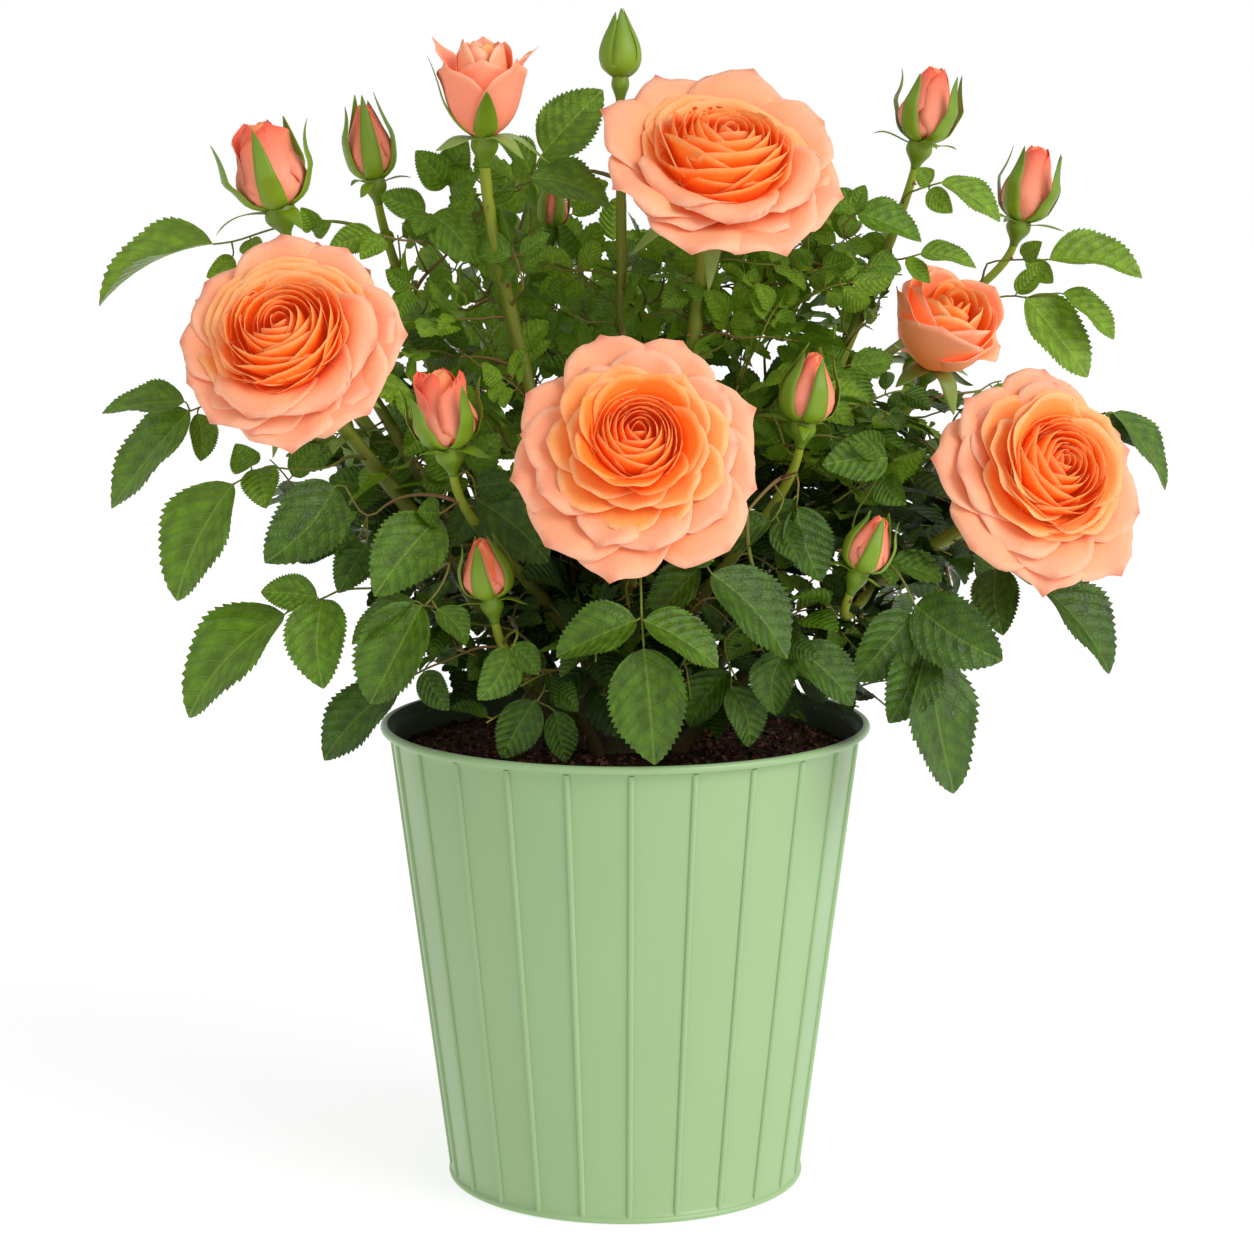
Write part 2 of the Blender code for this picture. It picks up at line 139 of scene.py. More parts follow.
def tube(heap, path, radii, sides, slot=0, relief=None):
    # a closed tube; relief(turn, share) scales the radius
    path, radii = np.asarray(path, float), np.asarray(radii, float)
    rows = len(path)
    side, up = frames(path)
    turn = np.linspace(0, 2 * math.pi, sides, endpoint=False)
    share = np.linspace(0, 1, rows)
    scale = radii[:, None] * (relief(turn[None, :], share[:, None]) if relief else np.ones((1, sides)))
    ring = side[:, None] * np.cos(turn)[None, :, None] + up[:, None] * np.sin(turn)[None, :, None]
    points = (path[:, None] + ring * scale[..., None]).reshape(-1, 3)
    quads, uv = gridFaces(rows, sides, closed=True)
    start = heap["count"]
    pile(heap, np.concatenate([points, path[:1], path[-1:]]), quads, uv, slot)
    i = np.arange(sides)
    low = np.stack([(i + 1) % sides, i, np.full(sides, rows * sides)], 1)
    top = (rows - 1) * sides
    high = np.stack([top + i, top + (i + 1) % sides, np.full(sides, rows * sides + 1)], 1)
    caps = np.concatenate([low, high]) + start - heap["count"]
    flat = np.zeros((len(caps), 3, 2))
    flat[:, 1, 0], flat[:, 2, 0], flat[:, :, 1] = 1 / sides, 0.5 / sides, 0.0
    flat[sides:, :, 1] = 1.0
    pile(heap, np.zeros((0, 3)), caps, flat, slot)


def lathe(heap, profile, steps, slots, shape=None):
    # a closed turned shape from its axis and back; slots gives one material per row of faces
    profile = np.asarray(profile, float)
    inner = profile[1:-1]
    turn = np.linspace(0, 2 * math.pi, steps, endpoint=False)
    radius = np.repeat(inner[:, :1], steps, axis=1)
    height = np.repeat(inner[:, 1:], steps, axis=1)
    if shape:
        radius, height = shape(radius, height, turn[None, :])
    points = np.stack([radius * np.cos(turn), radius * np.sin(turn), height], -1).reshape(-1, 3)
    quads, uv = gridFaces(len(inner), steps, closed=True)
    slots = np.asarray(slots)
    start = heap["count"]
    ends = np.array([[0, 0, profile[0][1]], [0, 0, profile[-1][1]]], float)
    pile(heap, np.concatenate([points, ends]), quads, uv, np.repeat(slots[1:-1], steps))
    i = np.arange(steps)
    count = len(inner) * steps
    first = np.stack([(i + 1) % steps, i, np.full(steps, count)], 1)
    last = (len(inner) - 1) * steps
    second = np.stack([last + i, last + (i + 1) % steps, np.full(steps, count + 1)], 1)
    for faces, slot in ((first, slots[0]), (second, slots[-1])):
        flat = np.zeros((steps, 3, 2))
        flat[:, 1, 0], flat[:, 2, 0] = 1 / steps, 0.5 / steps
        pile(heap, np.zeros((0, 3)), faces + start - heap["count"], flat, slot)


def addNode(tree, kind, inputs=None, **settings):
    # kind is a node's name without its prefix
    prefix = next(p for p in ("ShaderNode", "GeometryNode", "FunctionNode") if hasattr(bpy.types, p + kind))
    node = tree.nodes.new(prefix + kind)
    for key, value in settings.items():
        setattr(node, key, value)
    for key, value in (inputs or {}).items():
        if isinstance(value, bpy.types.NodeSocket):
            tree.links.new(value, node.inputs[key])
        else:
            node.inputs[key].default_value = value
    return node


def output(tree, kind, inputs=None, **settings):
    return addNode(tree, kind, inputs, **settings).outputs[0]


def sums(tree, operation, *values):
    return output(tree, "Math", dict(enumerate(values)), operation=operation)


def vectors(tree, operation, *values):
    return output(tree, "VectorMath", dict(enumerate(values)), operation=operation)


def lengthOf(tree, operation, *values):
    return addNode(tree, "VectorMath", dict(enumerate(values)), operation=operation).outputs["Value"]


def scaled(tree, vector, scale):
    return output(tree, "VectorMath", {0: vector, "Scale": scale}, operation="SCALE")


def ranged(tree, value, low, high, atLow=0.0, atHigh=1.0):
    return output(tree, "MapRange", {0: value, 1: low, 2: high, 3: atLow, 4: atHigh})


def blended(tree, share, a, b):
    colours = {0: share, 6: a if isinstance(a, bpy.types.NodeSocket) else (*a, 1), 7: (*b, 1)}
    return addNode(tree, "Mix", colours, data_type="RGBA").outputs[2]


def ramped(tree, value, stops):
    node = addNode(tree, "ValToRGB", {0: value})
    elements = node.color_ramp.elements
    for place, colour in stops[1:-1]:
        elements.new(place).color = (*colour, 1)
    elements[0].position, elements[0].color = stops[0][0], (*stops[0][1], 1)
    elements[-1].position, elements[-1].color = stops[-1][0], (*stops[-1][1], 1)
    return node.outputs[0]


def noise(tree, vector, scale, detail=3.0, stretch=None):
    if stretch:
        vector = output(tree, "Mapping", {"Vector": vector, "Scale": stretch})
    return output(tree, "TexNoise", {"Vector": vector, "Scale": scale, "Detail": detail})


def newMaterial(name, roughness, specular):
    material = bpy.data.materials.new(name)
    material.use_nodes = True
    shader = material.node_tree.nodes["Principled BSDF"]
    shader.inputs["Roughness"].default_value = roughness
    shader.inputs["Specular IOR Level"].default_value = specular
    return material, material.node_tree, shader


def glowing(shader, colour, strength):
    shader.inputs["Emission Color"].default_value = (*colour, 1)
    shader.inputs["Emission Strength"].default_value = strength


def finishSurface(tree, shader, colour, height, distance, strength, rough=None):
    tree.links.new(colour, shader.inputs["Base Color"])
    bump = addNode(tree, "Bump", {"Height": height, "Distance": distance, "Strength": strength})
    tree.links.new(bump.outputs[0], shader.inputs["Normal"])
    if rough:
        tree.links.new(rough, shader.inputs["Roughness"])


def placeOn(tree, mapName):
    uv = output(tree, "UVMap", uv_map=mapName)
    parts = addNode(tree, "SeparateXYZ", {0: uv})
    return uv, parts.outputs[0], parts.outputs[1]


def fromMiddle(tree, across):
    # 0 at the midrib, 1 at the edge
    return sums(tree, "ABSOLUTE", sums(tree, "MULTIPLY_ADD", across, 2.0, -1.0))


def tinted(colour, *by):
    # a colour times one number, or times three
    return tuple(c * f for c, f in zip(colour, by * 3 if len(by) == 1 else by))


def paintMaterial(name, colour, shade, roughness):
    material, tree, shader = newMaterial(name, roughness, 0.45)
    place = addNode(tree, "TexCoord").outputs["Object"]
    cloud = noise(tree, place, 11.0, 4.0)
    streak = noise(tree, place, 1.0, 3.0, (70.0, 70.0, 5.0))
    colour = blended(tree, ranged(tree, cloud, 0.35, 0.7), colour, shade)
    colour = blended(tree, ranged(tree, streak, 0.45, 0.75, 0.0, 0.35), colour, shade)
    skin = sums(tree, "MULTIPLY_ADD", noise(tree, place, 900.0, 2.0), 0.10, noise(tree, place, 24.0, 2.0))
    gloss = ranged(tree, cloud, 0.3, 0.7, roughness - 0.05, roughness + 0.06)
    finishSurface(tree, shader, colour, skin, 0.0012, 0.10, gloss)
    return material


def earthMaterial(name, dark, light):
    material, tree, shader = newMaterial(name, 0.95, 0.15)
    place = addNode(tree, "TexCoord").outputs["Object"]
    grain = noise(tree, place, 420.0, 5.0)
    colour = ramped(tree, grain, ((0.35, dark), (0.68, light)))
    finishSurface(tree, shader, colour, grain, 0.0012, 0.8)
    return material


def barkMaterial(name, stops, roughness, streakStrength):
    # runs from the foot of a limb to its top
    material, tree, shader = newMaterial(name, roughness, 0.35)
    uv, _, up = placeOn(tree, "cane")
    streak = noise(tree, uv, 1.0, 4.0, (22.0, 9.0, 1.0))
    fleck = noise(tree, uv, 1.0, 2.0, (40.0, 70.0, 1.0))
    colour = ramped(tree, sums(tree, "MULTIPLY_ADD", sums(tree, "SUBTRACT", streak, 0.5), 0.35, up), stops)
    colour = blended(tree, ranged(tree, fleck, 0.62, 0.72, 0.0, 0.35), colour, (0.16, 0.12, 0.05))
    finishSurface(tree, shader, colour, streak, 0.0008, streakStrength)
    return material


def leafMaterial(name, body, vein, glow, roughness=0.36):
    material, tree, shader = newMaterial(name, roughness, 0.34)
    uv, across, up = placeOn(tree, "leaf")
    side = fromMiddle(tree, across)
    rib = ranged(tree, side, 0.012, 0.05, 1.0, 0.0)
    swept = sums(tree, "MULTIPLY_ADD", side, -1.1, sums(tree, "MULTIPLY", up, 7.5))
    swept = sums(tree, "MULTIPLY_ADD", sums(tree, "POWER", side, 1.8), -1.5, swept)
    between = sums(tree, "PINGPONG", swept, 0.5)  # 0 on a side vein, 0.5 half way to the next
    thread = ranged(tree, between, 0.0, 0.06, 0.8, 0.0)
    thread = sums(tree, "MULTIPLY", thread, ranged(tree, side, 0.3, 0.95, 1.0, 0.15))
    mottle = noise(tree, uv, 6.0, 4.0)
    colour = ramped(tree, mottle, ((0.36, tinted(body, 0.68)), (0.66, tinted(body, 1.34))))
    # painted shade: darker bands in the furrows beside each side vein
    colour = blended(tree, ranged(tree, between, 0.03, 0.17, 0.55, 0.0), colour, tinted(body, 0.45))
    colour = blended(tree, sums(tree, "MULTIPLY", sums(tree, "MAXIMUM", rib, thread), 0.75), colour, vein)
    bulge = sums(tree, "POWER", sums(tree, "MULTIPLY", between, 2.0), 0.6)
    net = sums(tree, "MULTIPLY_ADD", noise(tree, uv, 30.0, 2.0), 0.5, sums(tree, "MULTIPLY", bulge, 0.4))
    gloss = ranged(tree, mottle, 0.3, 0.7, roughness - 0.08, roughness + 0.08)
    finishSurface(tree, shader, colour, net, 0.0016, 0.8, gloss)
    # the emission is painted light, standing in for light through the leaves and lifting leaves in shade
    glowing(shader, (0.55, 1.0, 0.05), glow)
    return material


def petalMaterial(name, stops, rim, glow, tip=0.0):
    material, tree, shader = newMaterial(name, 0.6, 0.3)
    uv, _, up = placeOn(tree, "petal")
    colour = ramped(tree, up, stops)
    spot = vectors(tree, "MULTIPLY_ADD", uv, (2, 2, 0), (-1, -1, 0))
    out = lengthOf(tree, "LENGTH", spot)
    # a paler rim along the outline: partly the petal's own paler edge, partly a painted highlight on the
    # rolled lip
    colour = blended(tree, ranged(tree, out, 0.86, 1.0, 0.0, 0.5), colour, rim)
    if tip:
        away = lengthOf(tree, "DISTANCE", uv, (0.5, 1.0, 0))
        colour = blended(tree, ranged(tree, away, 0.01, 0.07, tip, 0.0), colour, (0.70, 0.12, 0.07))
    vein = noise(tree, uv, 1.0, 3.0, (46.0, 4.0, 1.0))
    colour = blended(tree, ranged(tree, vein, 0.55, 0.75, 0.0, 0.18), colour, stops[0][1])
    blush = noise(tree, uv, 2.6, 3.0)
    pink = tinted(stops[-1][1], 1.0, 0.82, 0.86)
    colour = blended(tree, ranged(tree, blush, 0.46, 0.68, 0.0, 0.35), colour, pink)
    finishSurface(tree, shader, colour, vein, 0.0004, 0.3)
    # the emission is painted light, standing in for light through the petals and lifting petals in shade
    glowing(shader, (1.0, 0.16, 0.01), glow)
    return material


def greenMaterial(name, foot, tip, edge):
    # hips and sepals: paler along the edges and streaked along their length
    material, tree, shader = newMaterial(name, 0.42, 0.4)
    uv, across, up = placeOn(tree, "petal")
    side = fromMiddle(tree, across)
    colour = ramped(tree, up, ((0.0, foot), (1.0, tip)))
    colour = blended(tree, ranged(tree, side, 0.72, 1.0, 0.0, 0.6), colour, edge)
    streak = noise(tree, uv, 1.0, 3.0, (16.0, 3.0, 1.0))
    colour = blended(tree, ranged(tree, streak, 0.5, 0.72, 0.0, 0.4), colour, tinted(foot, 0.7))
    finishSurface(tree, shader, colour, streak, 0.0004, 0.4)
    return material


bucketPaint = paintMaterial("bucketPaint", (0.308, 0.465, 0.222), (0.290, 0.440, 0.206), 0.36)
# the inside wall is the outside paint made darker: painted shade inside the bucket
bucketInsideShaded = paintMaterial("bucketInsideShaded", (0.060, 0.098, 0.030), (0.048, 0.080, 0.025), 0.6)
compost = earthMaterial("compost", (0.014, 0.007, 0.004), (0.100, 0.044, 0.026))
crumbDark = earthMaterial("crumbDark", (0.016, 0.008, 0.005), (0.060, 0.028, 0.017))
crumbRed = earthMaterial("crumbRed", (0.080, 0.032, 0.019), (0.280, 0.122, 0.072))
oldBark = barkMaterial("oldBark", ((0.0, (0.075, 0.052, 0.030)), (1.0, (0.105, 0.085, 0.045))), 0.85, 1.0)
caneBark = barkMaterial("caneBark", (
    (0.0, (0.085, 0.060, 0.022)), (0.22, (0.080, 0.072, 0.010)), (0.60, (0.150, 0.180, 0.007)),
    (1.0, (0.270, 0.340, 0.014))), 0.46, 0.5)
twigBark = barkMaterial("twigBark", ((0.0, (0.130, 0.115, 0.018)), (1.0, (0.190, 0.240, 0.016))), 0.55, 0.4)
redStalk = barkMaterial("redStalk", ((0.0, (0.20, 0.085, 0.035)), (1.0, (0.190, 0.180, 0.030))), 0.5, 0.3)
thornRed = barkMaterial("thornRed", ((0.0, (0.17, 0.045, 0.025)), (1.0, (0.26, 0.12, 0.05))), 0.45, 0.2)
# one green in five tones; leafShade is a shaded copy, and the lightest tone is young growth and painted
# light on the upper leaves
leafTones = [
    leafMaterial("leafDeep", (0.044, 0.104, 0.002), (0.105, 0.195, 0.012), 0.0),
    leafMaterial("leafMid", (0.066, 0.145, 0.003), (0.145, 0.255, 0.018), 0.006),
    leafMaterial("leafFresh", (0.090, 0.188, 0.004), (0.180, 0.305, 0.025), 0.022),
    leafMaterial("leafYoungAndLit", (0.140, 0.250, 0.007), (0.230, 0.365, 0.035), 0.040, 0.40),
    leafMaterial("leafShade", (0.021, 0.055, 0.001), (0.045, 0.098, 0.006), 0.0, 0.42)]
guardStops = ((0.0, (0.96, 0.20, 0.02)), (0.35, (0.95, 0.32, 0.09)), (0.70, (0.95, 0.39, 0.175)),
              (1.0, (0.94, 0.395, 0.24)))
petalTones = [
    petalMaterial("guardPetal", guardStops, (0.96, 0.56, 0.38), 0.05, 0.5),
    petalMaterial("middlePetal", (
        (0.0, (0.97, 0.07, 0.001)), (0.45, (0.97, 0.19, 0.012)), (0.74, (0.97, 0.31, 0.05)),
        (1.0, (0.97, 0.39, 0.12))), (0.98, 0.58, 0.30), 0.055),
    petalMaterial("heartPetal", (
        (0.0, (0.88, 0.010, 0.001)), (0.48, (0.94, 0.045, 0.001)), (0.78, (0.97, 0.15, 0.005)),
        (1.0, (0.97, 0.25, 0.025))), (0.98, 0.52, 0.20), 0.06),
    petalMaterial("nestPetal", (
        (0.0, (0.80, 0.005, 0.001)), (0.6, (0.92, 0.04, 0.002)), (0.85, (0.96, 0.12, 0.008)),
        (1.0, (0.97, 0.23, 0.03))), (0.98, 0.50, 0.22), 0.06)]
budTones = [
    petalMaterial("budPetal", (
        (0.0, (0.93, 0.36, 0.20)), (0.45, (0.93, 0.31, 0.19)), (0.85, (0.92, 0.22, 0.12)),
        (1.0, (0.88, 0.10, 0.05))), (0.90, 0.16, 0.09), 0.0),
    petalMaterial("budHeart", (
        (0.0, (0.90, 0.10, 0.02)), (0.6, (0.93, 0.18, 0.05)), (1.0, (0.94, 0.30, 0.12))),
        (0.95, 0.42, 0.22), 0.03)]
blushPetal = petalMaterial("blushPetal", (
    (0.0, (0.95, 0.27, 0.14)), (0.5, (0.95, 0.30, 0.19)), (1.0, (0.94, 0.33, 0.19))),
    (0.96, 0.48, 0.30), 0.09)
cupPetal = petalMaterial("cupPetal", guardStops, (0.96, 0.56, 0.38), 0.17, 0.5)  # glows more: painted light standing in for light through the petals
hipGreen = greenMaterial("hipGreen", (0.125, 0.220, 0.006), (0.185, 0.300, 0.012), (0.185, 0.300, 0.012))
sepalGreen = greenMaterial(
    "sepalGreen", (0.240, 0.370, 0.014), (0.120, 0.220, 0.008), (0.380, 0.440, 0.060))
paleSepal = greenMaterial("paleSepal", (0.300, 0.410, 0.090), (0.200, 0.300, 0.040), (0.400, 0.480, 0.130))
print("materials made:", len(bpy.data.materials))


bucket = {
    "height": 0.190, "rimRadius": 0.0998, "bead": 0.0017, "flare": 0.0062, "topRadius": 0.0958,
    "footRadius": 0.0718, "footRound": 0.003, "bandRadius": 0.0733, "bandHeight": 0.0030, "wall": 0.0012,
    "steps": 240, "panelFlat": 0.00022,
    "seams": 24, "seamWidth": 0.0026, "seamHeight": 0.00115, "seamTurn": 1.4}


def bodyRadius(height):
    share = (height - bucket["bandHeight"]) / (bucket["height"] - bucket["bandHeight"])
    return bucket["footRadius"] + share * (bucket["topRadius"] - bucket["footRadius"])


def circlePoints(centre, radius, start, end, count):
    turn = np.radians(np.linspace(start, end, count))
    return [(centre[0] + radius * math.cos(t), centre[1] + radius * math.sin(t)) for t in turn]


def makeBucket():
    wall, bead, top = bucket["wall"], bucket["bead"], bucket["height"]
    beadAt = (bucket["rimRadius"] - bead, top - bead)
    inside = [(0.0, wall), (0.035, wall), (0.062, wall)]
    bend = bucket["footRound"]
    inside += circlePoints((bodyRadius(0.004) - wall - bend, wall + bend), bend, -90, -8, 6)
    neck = top - bucket["flare"]
    inside += [(bodyRadius(z) - wall, z) for z in np.linspace(0.010, neck, 14)]
    throat = (bodyRadius(neck), neck)
    lip = (beadAt[0] - 0.2 * bead, beadAt[1] - bead)
    bends = (throat, (throat[0] + 0.0003, neck + 0.0022), (lip[0] - 0.0012, lip[1]), lip)
    flare = [tuple(v) for v in bezier(bends, np.linspace(0, 1, 7))]
    inside += [(r - wall, z + 0.4 * wall) for r, z in flare[1:-1]]
    rim = circlePoints(beadAt, bead, 170, -104, 22)
    wallTo = np.linspace(neck, bucket["bandHeight"] + 0.0012, 40)[1:]
    outside = flare[::-1] + [(bodyRadius(z), z) for z in wallTo]
    bulge = bucket["bandHeight"] / 2
    band = circlePoints((bucket["bandRadius"] - bulge, bulge), bulge * 0.98, 62, -82, 12)
    profile = inside + rim + outside + band + [(0.060, 0.0), (0.0, 0.0)]
    slots = [1] * (len(inside) + 3) + [0] * (len(profile) - len(inside) - 4)

    def panels(radius, height, turn):
        # the sheet lies a little flatter between two seams
        share = (np.degrees(turn) - bucket["seamTurn"] + 90) / (360 / bucket["seams"])
        hollow = np.sin(np.pi * share) ** 2
        zone = smooth(0.008, 0.03, height) * (1 - smooth(0.165, 0.181, height))
        return radius - bucket["panelFlat"] * hollow * zone, height

    heap = newHeap()
    lathe(heap, profile, bucket["steps"], slots, panels)
    piece = heapObject("bucket_shell", heap, [bucketPaint, bucketInsideShaded], "wall")
    for title in ("OFBake", "wall"):
        piece.data.uv_layers.remove(piece.data.uv_layers[title])
    return piece


def newTree(name, sockets):
    # a geometry node tree with named inputs
    tree = bpy.data.node_groups.new(name, "GeometryNodeTree")
    tree.interface.new_socket("Geometry", in_out="INPUT", socket_type="NodeSocketGeometry")
    for title, kind, value in sockets:
        socket = tree.interface.new_socket(title, in_out="INPUT", socket_type="NodeSocket" + kind)
        socket.default_value = value
    tree.interface.new_socket("Geometry", in_out="OUTPUT", socket_type="NodeSocketGeometry")
    return tree, tree.nodes.new("NodeGroupInput"), tree.nodes.new("NodeGroupOutput")


def grownPiece(name, base, tree, values):
    # runs a tree on a copy of base and keeps the result as a plain mesh
    holder = base.copy()
    holder.data = base.data.copy()
    scene.collection.objects.link(holder)
    modifier = holder.modifiers.new("grow", "NODES")
    modifier.node_group = tree
    for item in tree.interface.items_tree:
        if item.in_out == "INPUT" and item.name in values:
            modifier[item.identifier] = values[item.name]
    bpy.context.view_layer.update()
    depsgraph = bpy.context.evaluated_depsgraph_get()
    mesh = bpy.data.meshes.new_from_object(holder.evaluated_get(depsgraph), depsgraph=depsgraph)
    bpy.data.objects.remove(holder)
    mesh.name = name
    piece = bpy.data.objects.new(name, mesh)
    scene.collection.objects.link(piece)
    return piece


def seamTree():
    tree, given, result = newTree("bucketSeams", (
        ("seamCount", "Int", bucket["seams"]), ("seamWidth", "Float", bucket["seamWidth"]),
        ("seamHeight", "Float", bucket["seamHeight"]), ("seamTurn", "Float", 0.0),
        ("foot", "Vector", (0, 0, 0)), ("top", "Vector", (0, 0, 1))))
    g = given.outputs
    path = output(tree, "CurvePrimitiveLine", {"Start": g["foot"], "End": g["top"]})
    path = output(tree, "ResampleCurve", {"Curve": path, "Count": 18})
    # the seam dies away at both ends
    share = addNode(tree, "SplineParameter").outputs["Factor"]
    ends = sums(tree, "PINGPONG", share, 0.5)
    fade = ranged(tree, ends, 0.0, 0.05, 0.35, 1.0)
    path = output(tree, "SetCurveRadius", {"Curve": path, "Radius": fade})
    ring = output(tree, "CurvePrimitiveCircle", {"Resolution": 12, "Radius": 1.0})
    half = sums(tree, "MULTIPLY", g["seamWidth"], 0.5)
    size = output(tree, "CombineXYZ", {0: half, 1: g["seamHeight"], 2: 1.0})
    ring = output(tree, "Transform", {"Geometry": ring, "Scale": size})
    seam = output(tree, "CurveToMesh", {"Curve": path, "Profile Curve": ring, "Fill Caps": True})
    spots = output(tree, "MeshLine", {"Count": g["seamCount"], "Offset": (0, 0, 0)})
    index = output(tree, "InputIndex")
    turn = sums(tree, "DIVIDE", sums(tree, "MULTIPLY", index, 2 * math.pi), g["seamCount"])
    turn = sums(tree, "ADD", turn, g["seamTurn"])
    spin = output(tree, "CombineXYZ", {2: turn})
    many = output(tree, "InstanceOnPoints", {"Points": spots, "Instance": seam, "Rotation": spin})
    plain = output(tree, "RealizeInstances", {"Geometry": many})
    shade = output(tree, "SetShadeSmooth", {"Geometry": plain})
    coat = output(tree, "SetMaterial", {"Geometry": shade, "Material": bucketPaint})
    tree.links.new(coat, result.inputs[0])
    return tree


shell = makeBucket()
seamFoot, seamTop = bucket["bandHeight"] - 0.0004, bucket["height"] - bucket["flare"] + 0.0020
seams = grownPiece("bucket_seams", shell, seamTree(), {
    "seamCount": bucket["seams"], "seamWidth": bucket["seamWidth"], "seamHeight": bucket["seamHeight"],
    "seamTurn": math.radians(bucket["seamTurn"] - 90),
    "foot": (bodyRadius(seamFoot), 0, seamFoot), "top": (bodyRadius(seamTop), 0, seamTop)})
finishPiece(shell, "bucket_paint", "bucket")
finishPiece(seams, "bucket_paint")


soil = {
    "below": 0.0125, "crown": 0.003, "rough": 0.0016, "gap": 0.0003, "floor": 0.0015, "steps": 96,
    "upper": 0.15, "settled": 0.0006,
    "density": 52000.0, "least": 0.0007, "most": 0.0022, "jolt": 0.0022, "reach": 0.0915, "seed": 5}


def soilHeight(radius):
    share = radius / bucket["topRadius"]
    return bucket["height"] - soil["below"] + soil["crown"] * (1 - share * share)


def lumps(x, y):
    # a few waves that never line up
    return (np.sin(61 * x + 1.3) * np.cos(53 * y + 0.4) + 0.6 * np.sin(131 * x + 97 * y)
            + 0.4 * np.sin(233 * x - 181 * y + 2.0) + 0.25 * np.cos(411 * x + 377 * y)) / 2.25


def wallAt(height):
    return bodyRadius(height) - bucket["wall"] - soil["gap"]


def makeSoil():
    edge = soilHeight(bucket["topRadius"])
    profile = [(r, soilHeight(r)) for r in np.linspace(0.0, wallAt(edge), 34)]
    profile += [(wallAt(z), z) for z in (0.12, 0.06, soil["floor"])] + [(0.0, soil["floor"])]

    def ground(radius, height, turn):
        top = height > soil["upper"]
        wave = soil["rough"] * lumps(radius * np.cos(turn), radius * np.sin(turn))
        return radius, height + np.where(top, wave - soil["settled"], 0.0)

    heap = newHeap()
    lathe(heap, profile, soil["steps"], [0] * (len(profile) - 1), ground)
    return heapObject("compost_bed", heap, [compost], "ground")


def crumbTree():
    tree, given, result = newTree("compostCrumbs", (
        ("density", "Float", 1.0), ("least", "Float", 0.001), ("most", "Float", 0.002),
        ("reach", "Float", 0.09), ("seed", "Int", 0)))
    g = given.outputs
    here = output(tree, "InputPosition")
    parts = addNode(tree, "SeparateXYZ", {0: here}).outputs
    flat = output(tree, "CombineXYZ", {0: parts[0], 1: parts[1]})
    out = lengthOf(tree, "LENGTH", flat)
    within = sums(tree, "LESS_THAN", out, g["reach"])
    high = sums(tree, "GREATER_THAN", parts[2], soil["upper"])
    chosen = sums(tree, "MULTIPLY", within, high)
    spots = addNode(tree, "DistributePointsOnFaces", {
        "Mesh": g["Geometry"], "Selection": chosen, "Density": g["density"], "Seed": g["seed"]})
    size = addNode(tree, "RandomValue", {2: g["least"], 3: g["most"], "Seed": g["seed"]}).outputs[1]
    squash = output(tree, "RandomValue", {
        0: (0.6, 0.6, 0.45), 1: (1.3, 1.3, 0.9), "Seed": 3}, data_type="FLOAT_VECTOR")
    scale = scaled(tree, squash, size)
    spin = output(tree, "RandomValue", {1: (6.28, 6.28, 6.28), "Seed": 4}, data_type="FLOAT_VECTOR")
    ball = output(tree, "MeshIcoSphere", {"Radius": 1.0, "Subdivisions": 1})
    many = output(tree, "InstanceOnPoints", {
        "Points": spots.outputs[0], "Instance": ball, "Rotation": spin, "Scale": scale})
    plain = output(tree, "RealizeInstances", {"Geometry": many})
    # corners pushed about, so that no crumb is a ball
    jolt = addNode(tree, "TexNoise", {
        "Vector": output(tree, "InputPosition"), "Scale": 900.0}).outputs["Color"]
    jolt = vectors(tree, "SUBTRACT", jolt, (0.5, 0.5, 0.5))
    jolt = scaled(tree, jolt, soil["jolt"])
    rough = output(tree, "SetPosition", {"Geometry": plain, "Offset": jolt})
    dark = output(tree, "SetMaterial", {"Geometry": rough, "Material": crumbDark})
    patch = output(tree, "TexNoise", {"Vector": output(tree, "InputPosition"), "Scale": 260.0})
    reds = sums(tree, "GREATER_THAN", patch, 0.53)
    coat = output(tree, "SetMaterial", {"Geometry": dark, "Selection": reds, "Material": crumbRed})
    tree.links.new(coat, result.inputs[0])
    return tree


bed = makeSoil()
crumbs = grownPiece("compost_crumbs", bed, crumbTree(), soil)
finishPiece(bed, "potting_soil", "soil")
finishPiece(crumbs, "potting_soil")


